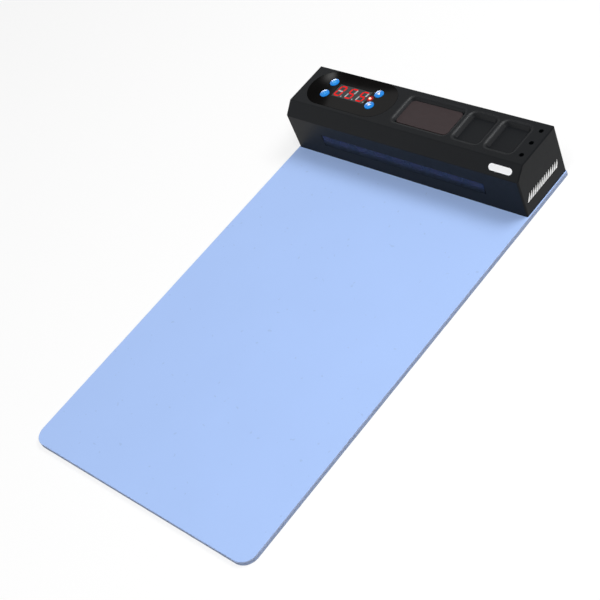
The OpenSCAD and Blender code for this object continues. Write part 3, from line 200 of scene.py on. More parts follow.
def plate(name, shapes, place, thickness, cuts=0, height=None):
    """Thin closed plates with the given outlines. place takes their plane to the model's frame.
    height(x, y), if given, is the surface that they follow."""
    built = bmesh.new()
    for shape in shapes:
        built.faces.new([built.verts.new((x, y, 0)) for x, y in shape])
    if cuts:
        bmesh.ops.triangulate(built, faces=built.faces[:])
        bmesh.ops.subdivide_edges(built, edges=built.edges[:], cuts=cuts, use_grid_fill=True)
    made = bmesh.ops.extrude_face_region(built, geom=built.faces[:])
    raised = {v for v in made["geom"] if isinstance(v, bmesh.types.BMVert)}
    for v in built.verts:
        v.co.z = (height(v.co.x, v.co.y) if height else 0) + (thickness if v in raised else 0)
    bmesh.ops.recalc_face_normals(built, faces=built.faces[:])
    mesh = bpy.data.meshes.new(name)
    built.to_mesh(mesh)
    built.free()
    mesh.transform(place)
    thing = bpy.data.objects.new(name, mesh)
    bpy.context.scene.collection.objects.link(thing)
    return thing


def plane_at(origin, across, up):
    """Matrix that takes a flat drawing to a plane, its x along across and its y along up."""
    out = across.cross(up)
    return Matrix((
        (across.x, up.x, out.x, origin.x),
        (across.y, up.y, out.y, origin.y),
        (across.z, up.z, out.z, origin.z),
        (0, 0, 0, 1),
    ))


def circle_points(x, y, r, count=32, start=0.0, end=360.0):
    """Points on an arc, the whole circle if the angles are left out."""
    whole = end - start >= 360
    steps = count if whole else count - 1
    angles = [math.radians(start + (end - start) * i / steps) for i in range(count)]
    return [(x + r * math.cos(a), y + r * math.sin(a)) for a in angles]


def ring_points(outer, inner, start, end, count=24):
    """Outline of a piece of a ring round the origin."""
    return circle_points(0, 0, outer, count, start, end) + circle_points(0, 0, inner, count, start, end)[::-1]


def stadium_points(w, h, count=12):
    """Outline of a bar with round ends, its middle at the origin."""
    reach = (w - h) / 2
    return circle_points(reach, 0, h / 2, count, -90, 90) + circle_points(-reach, 0, h / 2, count, 90, 270)


def bar_points(x0, y0, x1, y1):
    """Outline of a rectangle."""
    return [(x0, y0), (x1, y0), (x1, y1), (x0, y1)]


# Materials
TONE_RAMP = (0.3, 0.7)
DUST_RAMP = (0.815, 0.85)
DUST_MM = 2.6
SMOOTHEST = 0.02


def material(name, color, rough, metal=0.0, specular=0.5, alpha=1.0, tone=0.0, tone_mm=10.0,
             rough_change=0.0, grain_um=0.0, grain_mm=0.5, stretch=(1, 1, 1), glow=None, glow_strength=0.0,
             dust=0.0):
    """A finish with its own mottling, dust, change of roughness and grain, all in real sizes."""
    made = bpy.data.materials.new(name)
    made.use_nodes = True
    tree = made.node_tree
    shader = tree.nodes["Principled BSDF"]
    shader.inputs["Base Color"].default_value = (*color, 1)
    shader.inputs["Roughness"].default_value = rough
    shader.inputs["Metallic"].default_value = metal
    shader.inputs["Specular IOR Level"].default_value = specular
    shader.inputs["IOR"].default_value = 1.5
    shader.inputs["Alpha"].default_value = alpha
    if glow:
        shader.inputs["Emission Color"].default_value = (*glow, 1)
        shader.inputs["Emission Strength"].default_value = glow_strength
    place = tree.nodes.new("ShaderNodeTexCoord")
    mapping = tree.nodes.new("ShaderNodeMapping")
    mapping.inputs["Scale"].default_value = stretch
    tree.links.new(place.outputs["Object"], mapping.inputs["Vector"])

    def speckle(size_mm, detail):
        field = tree.nodes.new("ShaderNodeTexNoise")
        field.inputs["Scale"].default_value = 1 / (size_mm * MM)
        field.inputs["Detail"].default_value = detail
        tree.links.new(mapping.outputs["Vector"], field.inputs["Vector"])
        return field.outputs["Fac"]

    def ramp(source, positions, colors):
        shades = tree.nodes.new("ShaderNodeValToRGB")
        for stop, position, shade in zip(shades.color_ramp.elements, positions, colors):
            stop.position = position
            stop.color = (*shade, 1)
        tree.links.new(source, shades.inputs["Fac"])
        return shades.outputs["Color"]

    if tone:
        darker = [c * (1 - tone) for c in color]
        paler = [min(1, c * (1 + tone)) for c in color]
        last = ramp(speckle(tone_mm, detail=4), TONE_RAMP, (darker, paler))
        if dust:
            spots = ramp(speckle(DUST_MM, detail=0), DUST_RAMP, ((1, 1, 1), (1 - dust, 1 - dust, 1 - dust)))
            both = tree.nodes.new("ShaderNodeMix")
            both.data_type = "RGBA"
            both.blend_type = "MULTIPLY"
            both.inputs["Factor"].default_value = 1
            tree.links.new(last, both.inputs["A"])
            tree.links.new(spots, both.inputs["B"])
            last = both.outputs["Result"]
        tree.links.new(last, shader.inputs["Base Color"])
    if rough_change:
        spread = tree.nodes.new("ShaderNodeMapRange")
        spread.inputs["To Min"].default_value = max(SMOOTHEST, rough - rough_change)
        spread.inputs["To Max"].default_value = min(1, rough + rough_change)
        tree.links.new(speckle(tone_mm / 2, detail=3), spread.inputs["Value"])
        tree.links.new(spread.outputs["Result"], shader.inputs["Roughness"])
    if grain_um:
        bump = tree.nodes.new("ShaderNodeBump")
        bump.inputs["Distance"].default_value = grain_um * MICRON
        bump.inputs["Strength"].default_value = 1
        tree.links.new(speckle(grain_mm, detail=2), bump.inputs["Height"])
        tree.links.new(bump.outputs["Normal"], shader.inputs["Normal"])
    return made


# One finish for each material slot of the record
BLACK_PLASTIC = (0.0013, 0.0020, 0.0030)
FINISHES = {
    "silicone_blue": dict(color=(0.402, 0.560, 0.922), rough=0.45, specular=0.2, tone=0.01, tone_mm=45,
                          rough_change=0.02, grain_um=4, grain_mm=0.9, dust=0.09),
    "silicone_grey": dict(color=(0.22, 0.28, 0.44), rough=0.6, specular=0.4, tone=0.05, tone_mm=8,
                          grain_um=14, grain_mm=0.6),
    "polyimide_film": dict(color=(0.45, 0.2, 0.03), rough=0.3, tone=0.05, tone_mm=15, grain_um=3, grain_mm=2),
    "foil": dict(color=(0.68, 0.69, 0.7), rough=0.3, metal=1, tone=0.05, tone_mm=4, rough_change=0.08,
                 grain_um=3, grain_mm=0.5, stretch=(1, 12, 1)),
    "sensor_epoxy": dict(color=(0.02, 0.02, 0.025), rough=0.2, tone=0.2, tone_mm=1, grain_um=8),
    "black_rubber": dict(color=(0.015, 0.015, 0.015), rough=0.75, tone=0.2, tone_mm=2, grain_um=10,
                         grain_mm=0.2),
    "base_plastic": dict(color=(0.012, 0.012, 0.013), rough=0.5, tone=0.1, tone_mm=6, grain_um=6,
                         grain_mm=0.15),
    "housing_plastic": dict(color=BLACK_PLASTIC, rough=0.47, specular=0.155, tone=0.12, tone_mm=14,
                            rough_change=0.035, grain_um=2.2, grain_mm=0.16),
    "screw_steel": dict(color=(0.55, 0.56, 0.58), rough=0.32, metal=1, tone=0.08, tone_mm=1.2,
                        rough_change=0.1, grain_um=3, grain_mm=0.2),
    "smoked_lens": dict(color=BLACK_PLASTIC, rough=0.24, specular=0.13, alpha=0.94, tone=0.1, tone_mm=9,
                        rough_change=0.03, grain_um=0.8, grain_mm=3),
    "reflector_silver": dict(color=(0.33, 0.34, 0.37), rough=0.35, metal=0.6, tone=0.05, tone_mm=3,
                             grain_um=3, grain_mm=0.4),
    "white_board": dict(color=(0.7, 0.72, 0.7), rough=0.4, tone=0.03, tone_mm=5, grain_um=3),
    "lamp_phosphor": dict(color=(0.8, 0.72, 0.3), rough=0.45, tone=0.08, tone_mm=1, grain_um=6, grain_mm=0.2),
    "black_ceramic": dict(color=(0.015, 0.015, 0.016), rough=0.4, tone=0.1, tone_mm=1, grain_um=4,
                          grain_mm=0.1),
    "magnet_rubber": dict(color=(0.030, 0.021, 0.022), rough=0.55, specular=0.2, tone=0.07, tone_mm=4,
                          rough_change=0.06, grain_um=6, grain_mm=0.5, stretch=(0.6, 1.6, 1)),
    "panel_film": dict(color=(0.0050, 0.0047, 0.0046), rough=0.045, specular=0.10, tone=0.15, tone_mm=20,
                       rough_change=0.01, grain_um=0.4, grain_mm=2.5),
    "board_laminate": dict(color=(0.012, 0.09, 0.035), rough=0.3, tone=0.12, tone_mm=3, rough_change=0.06,
                           grain_um=6, grain_mm=0.8),
    "display_grey": dict(color=(0.026, 0.030, 0.031), rough=0.3, specular=0.3, tone=0.06, tone_mm=3,
                         grain_um=1.5, grain_mm=0.2),
    "segment_lit": dict(color=(0.2, 0.002, 0.002), rough=0.3, specular=0.08, tone=0.1, tone_mm=1,
                        glow=(0.70, 0.005, 0.005), glow_strength=0.95, grain_um=2, grain_mm=0.3),
    "segment_unlit": dict(color=(0.42, 0.42, 0.43), rough=0.4, specular=0.3, tone=0.06, tone_mm=1,
                          grain_um=2, grain_mm=0.3),
    "led_red": dict(color=(0.5, 0.05, 0.04), rough=0.2, tone=0.1, tone_mm=1, glow=(1.0, 0.42, 0.30),
                    glow_strength=1.7, grain_um=2, grain_mm=0.4),
    "button_blue": dict(color=(0.003, 0.225, 0.72), rough=0.2, specular=0.3, tone=0.04, tone_mm=3,
                        rough_change=0.03, grain_um=1.2, grain_mm=0.4),
    "plunger_white": dict(color=(0.65, 0.65, 0.62), rough=0.45, tone=0.03, tone_mm=2, grain_um=3),
    "black_nylon": dict(color=(0.014, 0.014, 0.015), rough=0.5, tone=0.12, tone_mm=4, grain_um=7,
                        grain_mm=0.12),
    "rocker_plastic": dict(color=(0.012, 0.012, 0.013), rough=0.28, tone=0.1, tone_mm=3, rough_change=0.05,
                           grain_um=2, grain_mm=0.2),
    "core_steel": dict(color=(0.2, 0.2, 0.21), rough=0.4, metal=0.9, tone=0.2, tone_mm=0.6, grain_um=12,
                       grain_mm=0.5, stretch=(1, 14, 1)),
    "coil_tape": dict(color=(0.5, 0.36, 0.04), rough=0.35, tone=0.08, tone_mm=2, grain_um=6, grain_mm=1,
                      stretch=(1, 1, 8)),
    "relay_blue": dict(color=(0.015, 0.07, 0.34), rough=0.35, tone=0.06, tone_mm=4, grain_um=3, grain_mm=0.2),
    "fuse_glass": dict(color=(0.8, 0.85, 0.86), rough=0.05, alpha=0.35, tone=0.03, tone_mm=4, grain_um=1,
                       grain_mm=1),
    "contact_brass": dict(color=(0.6, 0.45, 0.17), rough=0.28, metal=1, tone=0.08, tone_mm=2,
                          rough_change=0.1, grain_um=3, grain_mm=0.3),
    "capacitor_sleeve": dict(color=(0.02, 0.028, 0.09), rough=0.3, tone=0.06, tone_mm=3, grain_um=2,
                             grain_mm=0.6),
    "suppressor_box": dict(color=(0.5, 0.31, 0.02), rough=0.35, tone=0.05, tone_mm=3, grain_um=3,
                           grain_mm=0.3),
    "terminal_green": dict(color=(0.015, 0.16, 0.045), rough=0.4, tone=0.06, tone_mm=3, grain_um=4,
                           grain_mm=0.2),
    "wire_red": dict(color=(0.42, 0.02, 0.015), rough=0.35, tone=0.05, tone_mm=4, grain_um=2),
    "wire_white": dict(color=(0.62, 0.62, 0.58), rough=0.4, tone=0.04, tone_mm=4, grain_um=2),
    "wire_black": dict(color=(0.015, 0.015, 0.015), rough=0.35, tone=0.1, tone_mm=4, grain_um=2),
    "wire_brown": dict(color=(0.09, 0.035, 0.012), rough=0.35, tone=0.06, tone_mm=4, grain_um=2),
    "wire_yellow": dict(color=(0.55, 0.48, 0.04), rough=0.35, tone=0.05, tone_mm=4, grain_um=2),
    "ribbon_grey": dict(color=(0.3, 0.3, 0.33), rough=0.45, tone=0.08, tone_mm=1, grain_um=10, grain_mm=1,
                        stretch=(1, 3, 0.05)),
}
looks = {name: material(name, **finish) for name, finish in FINISHES.items()}

# Finishes of what the record has no slot for: the mat's cut edges and the printed marks
cut_edge_blue = material("silicone_cut_edge", (0.36, 0.43, 0.62), 0.8, specular=0.2, tone=0.12, tone_mm=0.7,
                         grain_um=40, grain_mm=0.5)
cut_edge_grey = material("silicone_under_edge", (0.31, 0.38, 0.55), 0.8, specular=0.2, tone=0.16,
                         tone_mm=0.6, grain_um=50, grain_mm=0.5)
white_ink = material("white_ink", (0.95, 0.95, 0.95), 0.45, specular=0.3, tone=0.01, tone_mm=2,
                     rough_change=0.05, grain_um=2, grain_mm=0.15)
pale_ink = material("pale_ink", (0.06, 0.38, 0.82), 0.35, specular=0.3, tone=0.03, tone_mm=1, grain_um=2,
                    grain_mm=0.2)


def glow_round(finish, middle, near, far, inner, outer, strengths):
    """Glow that changes with the distance from a point, from inner to outer colour."""
    tree = finish.node_tree
    shader = tree.nodes["Principled BSDF"]
    place = tree.nodes.new("ShaderNodeTexCoord")
    distance = tree.nodes.new("ShaderNodeVectorMath")
    distance.operation = "DISTANCE"
    distance.inputs[1].default_value = middle
    tree.links.new(place.outputs["Object"], distance.inputs[0])
    share = tree.nodes.new("ShaderNodeMapRange")
    share.interpolation_type = "SMOOTHSTEP"
    share.inputs["From Min"].default_value = near
    share.inputs["From Max"].default_value = far
    tree.links.new(distance.outputs["Value"], share.inputs["Value"])
    strength = tree.nodes.new("ShaderNodeMapRange")
    strength.inputs["To Min"].default_value = strengths[0]
    strength.inputs["To Max"].default_value = strengths[1]
    tree.links.new(share.outputs["Result"], strength.inputs["Value"])
    tree.links.new(strength.outputs["Result"], shader.inputs["Emission Strength"])
    if inner == outer:
        shader.inputs["Emission Color"].default_value = (*inner, 1)
        return
    blend = tree.nodes.new("ShaderNodeMix")
    blend.data_type = "RGBA"
    blend.inputs["A"].default_value = (*inner, 1)
    blend.inputs["B"].default_value = (*outer, 1)
    tree.links.new(share.outputs["Result"], blend.inputs["Factor"])
    tree.links.new(blend.outputs["Result"], shader.inputs["Emission Color"])


CLOUDS_PER_PITCH = 4


def paint_lens_reflection(finish, foot, top, pitch, reflection_colours):
    """Painted reflection of the blue mat on the window, rising out of painted shade at its foot, with one
    painted light violet patch for each lamp's pitch.
    """
    tree = finish.node_tree
    shader = tree.nodes["Principled BSDF"]
    plain = shader.inputs["Base Color"].links[0].from_socket
    place = tree.nodes.new("ShaderNodeTexCoord")
    parts = tree.nodes.new("ShaderNodeSeparateXYZ")
    tree.links.new(place.outputs["Object"], parts.inputs["Vector"])
    rise = tree.nodes.new("ShaderNodeMapRange")
    rise.interpolation_type = "SMOOTHSTEP"
    rise.inputs["From Min"].default_value = foot
    rise.inputs["From Max"].default_value = top
    tree.links.new(parts.outputs["Z"], rise.inputs["Value"])
    field = tree.nodes.new("ShaderNodeTexNoise")
    field.inputs["Scale"].default_value = CLOUDS_PER_PITCH / pitch
    tree.links.new(place.outputs["Object"], field.inputs["Vector"])
    turn = tree.nodes.new("ShaderNodeMath")
    turn.operation = "MULTIPLY_ADD"
    turn.inputs[1].default_value = 2 * math.pi / pitch
    tree.links.new(parts.outputs["X"], turn.inputs[0])
    tree.links.new(field.outputs["Fac"], turn.inputs[2])
    wave = tree.nodes.new("ShaderNodeMath")
    wave.operation = "COSINE"
    tree.links.new(turn.outputs["Value"], wave.inputs[0])
    patch = tree.nodes.new("ShaderNodeMapRange")
    patch.inputs["From Min"].default_value = -1
    tree.links.new(wave.outputs["Value"], patch.inputs["Value"])
    reflection = tree.nodes.new("ShaderNodeMix")
    reflection.data_type = "RGBA"
    reflection.inputs["A"].default_value = (*reflection_colours[0], 1)
    reflection.inputs["B"].default_value = (*reflection_colours[1], 1)
    tree.links.new(patch.outputs["Result"], reflection.inputs["Factor"])
    blend = tree.nodes.new("ShaderNodeMix")
    blend.data_type = "RGBA"
    tree.links.new(rise.outputs["Result"], blend.inputs["Factor"])
    tree.links.new(plain, blend.inputs["A"])
    tree.links.new(reflection.outputs["Result"], blend.inputs["B"])
    tree.links.new(blend.outputs["Result"], shader.inputs["Base Color"])


# Painted reflection of the mat on the lamp's window, with painted shade at its foot and a painted light patch
# per lamp;
# the status lamp with its hot middle, and its red halo painted as glow in the film
SLOT_FOOT = lens_low.z + LENS_LIP
REFLECTION_FROM = 1.6 * MM
REFLECTION_TO = 5.4 * MM
WINDOW_REFLECTION_COLOURS = ((0.014, 0.025, 0.066), (0.024, 0.028, 0.076))
LAMP_TOP = Vector(((lamp_low.x + lamp_high.x) / 2, (lamp_low.y + lamp_high.y) / 2, lamp_high.z))
LAMP_HOT = (1.0, 0.78, 0.55)
LAMP_RED = (0.8, 0.05, 0.045)
HALO_RED = (1.0, 0.01, 0.015)
paint_lens_reflection(looks["smoked_lens"], SLOT_FOOT + REFLECTION_FROM, SLOT_FOOT + REFLECTION_TO, LAMP_PITCH, WINDOW_REFLECTION_COLOURS)
glow_round(looks["led_red"], LAMP_TOP, near=0.4 * MM, far=1.3 * MM, inner=LAMP_HOT, outer=LAMP_RED,
           strengths=(1.5, 1.0))
# The lamp's red light painted as a glow in the film round it
glow_round(looks["panel_film"], LAMP_TOP, near=0.6 * MM, far=3.1 * MM, inner=HALO_RED, outer=HALO_RED,
           strengths=(0.55, 0.0))

# Every CAD node gets the finish of its slot
for part in frame["record"]["subparts"]:
    node = nodes[part["node"]]
    node.data.materials.clear()
    node.data.materials.append(looks[part["material_slot"]])


def dress(piece, body, slot, *finishes):
    """Give a piece its materials and its body. The slot is not used."""
    piece.data.materials.clear()
    for finish in finishes:
        piece.data.materials.append(finish)
    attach(piece, body)


# Silicone mat: two sheets with soft, slightly wandering cut edges
CUT_WANDER = 0.1 * MM
CUT_WAVE = 5 * MM
WANDER_GAIN = 1.6
TOP_SHEET_EDGE = [(0.2, 0.01), (0.06, 0.16), (0.02, 0.6), (0.02, -0.6), (0.06, -0.25), (0.18, -0.07),
                  (0.36, -0.01)]
UNDER_SHEET_EDGE = [(0.3, 0.01), (0.08, 0.18), (0.03, 0.5), (0.03, -0.4), (0.08, -0.12), (0.22, -0.01)]


def cut_wander(seed):
    """Small inward wander of a cut edge, another for each seed."""
    def wander(p, z):
        place = Vector((p.x / CUT_WAVE, p.y / CUT_WAVE, z / CUT_WAVE * 2 + seed))
        return CUT_WANDER * (0.5 + 0.5 * max(-1, min(1, noise.noise(place) * WANDER_GAIN)))
    return wander


def mat_sheet(name, node, low, high, edge, seed, slot, edge_finish):
    """One sheet of the mat, with the holes of its CAD solid and its own finish on the cut edge."""
    outline = rounded_outline(low, high, [MAT_FRONT_RADIUS] * 2 + [MAT_REAR_RADIUS] * 2, OUTLINE_STEP)
    sheet = ring_slab(name, outline, edge_profile(edge, low, high), cut_wander(seed))
    cut_like(sheet, node)
    dress(sheet, "pad", slot, looks[slot], edge_finish)
    for face in sheet.data.polygons:
        face.material_index = 0 if abs(face.normal.z) > 0.5 else 1
    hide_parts(node)


mat_sheet("mat_top_silicone", "mat_top_sheet", mat_low, mat_high, TOP_SHEET_EDGE, 1.3,
          "silicone_blue", cut_edge_blue)
mat_sheet("mat_bottom_silicone", "mat_bottom_sheet", under_low, under_high, UNDER_SHEET_EDGE, 7.9,
          "silicone_grey", cut_edge_grey)

# Window of the lamp: a face that nearly fills the slot, and a flange behind the wall
FLANGE = 1.5 * MM
WINDOW_SET = 0.04 * MM
WINDOW_GAP = 0.06 * MM
WINDOW_END_GAP = 0.38 * MM
WINDOW_ROUND = 0.1 * MM
WINDOW_RADIUS = 2.2 * MM
slot_mid = (lens_low.z + lens_high.z) / 2
half_w, half_h = lens_high.x, (lens_high.z - lens_low.z) / 2
window_depth = lens_high.y - house_low.y - WINDOW_SET
face_inset = LENS_LIP + WINDOW_GAP
window_corner = Vector((half_w, half_h))
window_outline = rounded_outline(-window_corner, window_corner, [WINDOW_RADIUS] * 4, OUTLINE_STEP)
window = ring_slab("lamp_window", window_outline, [
    (0, 0),
    (0, FLANGE),
    (face_inset, FLANGE),
    (face_inset, window_depth - WINDOW_ROUND),
    (face_inset + WINDOW_ROUND, window_depth),
], lambda p, z: 0)
for v in window.data.vertices:
    if half_w / 2 < abs(v.co.x) < half_w - LENS_LIP:
        v.co.x -= math.copysign(WINDOW_END_GAP - WINDOW_GAP, v.co.x)
window.data.transform(plane_at(Vector((0, lens_high.y, slot_mid)), ACROSS, UP))
dress(window, "pad", "smoked_lens", looks["smoked_lens"])
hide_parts("lamp_lens")

# Magnet sheet in the large tray, torn a little along its front edge
MAGNET_EDGE = [(0.1, 0.01), (0, 0.12), (0, -0.2), (0.05, -0.06), (0.2, 0)]
MAGNET_STEP = 0.35 * MM
MAGNET_INSET = 0.02 * MM
MAGNET_WANDER = 0.1 * MM
MAGNET_WAVE = 6 * MM
MAGNET_SEED = 4.2
NIBBLE = 0.22 * MM
NIBBLE_WAVE = 1.1 * MM
NIBBLED_BAND = 2 * MM
OTHER_EDGES = 0.2


def magnet_wander(p, z):
    """The cut edges wander, and the front one is nibbled."""
    fine = noise.noise(Vector((p.x / NIBBLE_WAVE, p.y / NIBBLE_WAVE, z / MM)))
    broad = noise.noise(Vector((p.x / MAGNET_WAVE, p.y / MAGNET_WAVE, MAGNET_SEED)))
    share = 1 if p.y < magnet_low.y + NIBBLED_BAND else OTHER_EDGES
    return share * (NIBBLE * max(0, fine) + MAGNET_WANDER * (1 + broad)) + MAGNET_INSET


magnet_outline = rounded_outline(magnet_low, magnet_high, [MAGNET_RADIUS] * 4, MAGNET_STEP)
magnet_profile = edge_profile(MAGNET_EDGE, magnet_low, magnet_high)
magnet = ring_slab("magnet_pad", magnet_outline, magnet_profile, magnet_wander)
dress(magnet, "pad", "magnet_rubber", looks["magnet_rubber"])
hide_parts("magnet_sheet")

# Tray rims: the broad moulded round and the slope from the top of the box down to each tray's floor
FRONT_MARGIN = 5.1 * MM
REAR_MARGIN = 4.3 * MM
END_MARGIN = 11.1 * MM
TRAY_FRONT = house_low.y + BEVEL_DEPTH + FRONT_MARGIN
TRAY_REAR = house_high.y - REAR_MARGIN
TRAY_END = house_high.x - END_MARGIN
TRAY_FLOOR = magnet_low.z
TRAY_DEPTH = TOP_Z - TRAY_FLOOR
TRAY_CORNER = 3.6 * MM
TRAY_WEB = 3.2 * MM
SMALL_TRAY = 20 * MM
MAGNET_GAP = 1.8 * MM
RIM_OUT = 1.2 * MM
RIM_RADIUS = 2.5 * MM
RIM_STEPS = 9
RIM_OUTLINE_STEP = 0.8 * MM
SLOPE = math.radians(55)


def rim_profile():
    """Inset from the wall and height over the floor: a broad round and a straight slope."""
    turns = [SLOPE * i / RIM_STEPS for i in range(RIM_STEPS + 1)]
    insets = [RIM_RADIUS * math.sin(a) - RIM_OUT for a in turns]
    heights = [TRAY_DEPTH - RIM_RADIUS * (1 - math.cos(a)) for a in turns]
    foot_inset = insets[-1] + heights[-1] / math.tan(SLOPE)
    return [*zip(insets, heights), (foot_inset, -SKIN)]


def tray_rim(points, faces, sharp, x0, x1):
    """Add the closed rim of one tray. Its back lies inside the housing's wall and floor."""
    low, high = Vector((x0, TRAY_FRONT, 0)), Vector((x1, TRAY_REAR, 0))
    outline = rounded_outline(low, high, [TRAY_CORNER] * 4, RIM_OUTLINE_STEP)
    front = rim_profile()
    profile = front + [(-RIM_OUT / 4, -2 * SKIN), (-RIM_OUT, TRAY_DEPTH - RIM_OUT / 4)]
    first, count = len(points), len(outline)
    for inset, height in profile:
        points += [(p.x - d.x * inset, p.y - d.y * inset, TRAY_FLOOR + height + SKIN) for p, d in outline]
    for ring in range(len(profile)):
        a, b = first + ring * count, first + (ring + 1) % len(profile) * count
        faces += [(a + i, a + (i + 1) % count, b + (i + 1) % count, b + i) for i in range(count)]
    foot = first + (len(front) - 1) * count
    sharp.update(range(first, first + count))
    sharp.update(range(foot, foot + count))


rim_points, rim_faces, rim_sharp = [], [], set()
for x0, x1 in (
    (magnet_low.x - MAGNET_GAP, magnet_high.x + MAGNET_GAP),
    (TRAY_END - 2 * SMALL_TRAY - TRAY_WEB, TRAY_END - SMALL_TRAY - TRAY_WEB),
    (TRAY_END - SMALL_TRAY, TRAY_END),
):
    tray_rim(rim_points, rim_faces, rim_sharp, x0, x1)
rims = mesh_object("tray_rims", rim_points, rim_faces, smooth=True)
for edge in rims.data.edges:
    edge.use_edge_sharp = edge.vertices[0] in rim_sharp and edge.vertices[1] in rim_sharp
dress(rims, "pad", "housing_plastic", looks["housing_plastic"])

# Printed pill on the sloping face, at a distance along the box and a share of the slope's length
PILL_SIZE = (16 * MM, 4.1 * MM)
PILL_ALONG = 76 * MM
PILL_SHARE = 0.47
slope = Vector((0, BEVEL_DEPTH, BEVEL_HEIGHT)).normalized()
slope_start = Vector((0, house_low.y, TOP_Z - BEVEL_HEIGHT))
slope_length = math.hypot(BEVEL_DEPTH, BEVEL_HEIGHT)
pill_at = slope_start + Vector((PILL_ALONG, 0, 0)) + slope * slope_length * PILL_SHARE
pill = plate("printed_pill", [stadium_points(*PILL_SIZE)], plane_at(pill_at, ACROSS, slope), INK)
dress(pill, "pad", "housing_plastic", white_ink)

# Hatched band on the end: leaning bars, their widths at three heights given as shares of the pitch
HATCH_Y = (113.0 * MM, 143.4 * MM)
HATCH_Z = (12.2 * MM, 14.8 * MM, 17.3 * MM)
HATCH_WIDTH = (0.78, 0.62, 0.05)
HATCH_BARS = 14
HATCH_LEAN = 0.66
hatch_pitch = (HATCH_Y[1] - HATCH_Y[0]) / HATCH_BARS


def hatch_bar(i):
    """One leaning bar, broad up to its middle and thin at its tip."""
    left = [(HATCH_Y[0] + i * hatch_pitch + HATCH_LEAN * (z - HATCH_Z[0]), z) for z in HATCH_Z]
    right = [(y + width * hatch_pitch, z) for (y, z), width in zip(left, HATCH_WIDTH)]
    return left[::-1] + right


bars = [hatch_bar(i) for i in range(HATCH_BARS)]
hatch = plate("printed_hatch", bars, plane_at(Vector((house_high.x, 0, 0)), REARWARD, UP), INK)
dress(hatch, "pad", "housing_plastic", white_ink)

# Plain signs on the domed buttons
dome_radius = ((BUTTON_DIAMETER / 2) ** 2 + DOME_HEIGHT ** 2) / (2 * DOME_HEIGHT)
ARROW_SIDE = 2.5 * MM
ARROW_BACK = 0.36
ARROW_TIP = 0.5


def dome_surface(x, y):
    """Height of a button's dome below its top."""
    return math.sqrt(dome_radius ** 2 - x * x - y * y) - dome_radius


def arrow(side, way):
    """Triangle that points to the rear or, with way -1, to the front."""
    back = -way * side * ARROW_BACK
    return [(-side / 2, back), (side / 2, back), (0, way * side * ARROW_TIP)][::way]


power_sign = [
    ring_points(outer=1.5 * MM, inner=1.12 * MM, start=125, end=415),
    bar_points(-0.2 * MM, 0.3 * MM, 0.2 * MM, 1.75 * MM),
]
set_sign = [circle_points(0, 0, 0.55 * MM, count=16)] + [
    ring_points(outer=1.55 * MM, inner=1.05 * MM, start=a + 12, end=a + 78, count=10)
    for a in (0, 90, 180, 270)
]
button_marks = {
    "power": (power_sign, pale_ink),
    "set": (set_sign, pale_ink),
    "up": ([arrow(ARROW_SIDE, 1)], white_ink),
    "down": ([arrow(ARROW_SIDE, -1)], white_ink),
}
for name, (shapes, ink) in button_marks.items():
    low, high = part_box("button_" + name)
    peak = Vector(((low.x + high.x) / 2, (low.y + high.y) / 2, high.z))
    mark = plate("mark_" + name, shapes, Matrix.Translation(peak), INK, cuts=2, height=dome_surface)
    dress(mark, name + "_button", "button_blue", ink)

# Bar and ring on the rocker, each laid on the face that a ray from behind meets
ROCKER_MARK_AT = 4.3 * MM
RAY_START = 1
rocker_marks = {
    "mark_on": (-ROCKER_MARK_AT, [bar_points(-1.5 * MM, -0.25 * MM, 1.5 * MM, 0.25 * MM)]),
    "mark_off": (ROCKER_MARK_AT, [
        ring_points(outer=1.5 * MM, inner=1.05 * MM, start=a, end=a + 180) for a in (0, 180)
    ]),
}
rocker_middle = (rocker_low.x + rocker_high.x) / 2, (rocker_low.z + rocker_high.z) / 2
bpy.context.view_layer.update()
for name, (offset, shapes) in rocker_marks.items():
    start = Vector((rocker_middle[0] + offset, RAY_START, rocker_middle[1]))
    _, place, out, _ = nodes["rocker"].ray_cast(start, FRONTWARD)
    mark = plate(name, shapes, plane_at(place, UP.cross(out), UP), INK)
    dress(mark, "power_rocker", "rocker_plastic", white_ink)


# Studio: pale floor, white surroundings, soft lamps and a dark card that the glossy film mirrors

def is_seen(tree):
    """1 for rays from the camera, from gloss and through glass, and 0 for light on the object."""
    path = tree.nodes.new("ShaderNodeLightPath")
    total = path.outputs["Is Camera Ray"]
    for kind in ("Is Glossy Ray", "Is Transmission Ray"):
        joined = tree.nodes.new("ShaderNodeMath")
        joined.operation = "MAXIMUM"
        tree.links.new(total, joined.inputs[0])
        tree.links.new(path.outputs[kind], joined.inputs[1])
        total = joined.outputs["Value"]
    return total


def pick(tree, seen_value, other_value):
    """A grey that differs between rays that see it and rays that only light the object."""
    mixed = tree.nodes.new("ShaderNodeMix")
    mixed.data_type = "RGBA"
    mixed.inputs["A"].default_value = (other_value, other_value, other_value, 1)
    mixed.inputs["B"].default_value = (seen_value, seen_value, seen_value, 1)
    tree.links.new(is_seen(tree), mixed.inputs["Factor"])
    return mixed.outputs["Result"]


WORLD_LIGHT = 0.12
world = bpy.data.worlds.new("studio")
world.use_nodes = True
background = world.node_tree.nodes["Background"]
world.node_tree.links.new(pick(world.node_tree, 1.0, WORLD_LIGHT), background.inputs["Color"])
bpy.context.scene.world = world

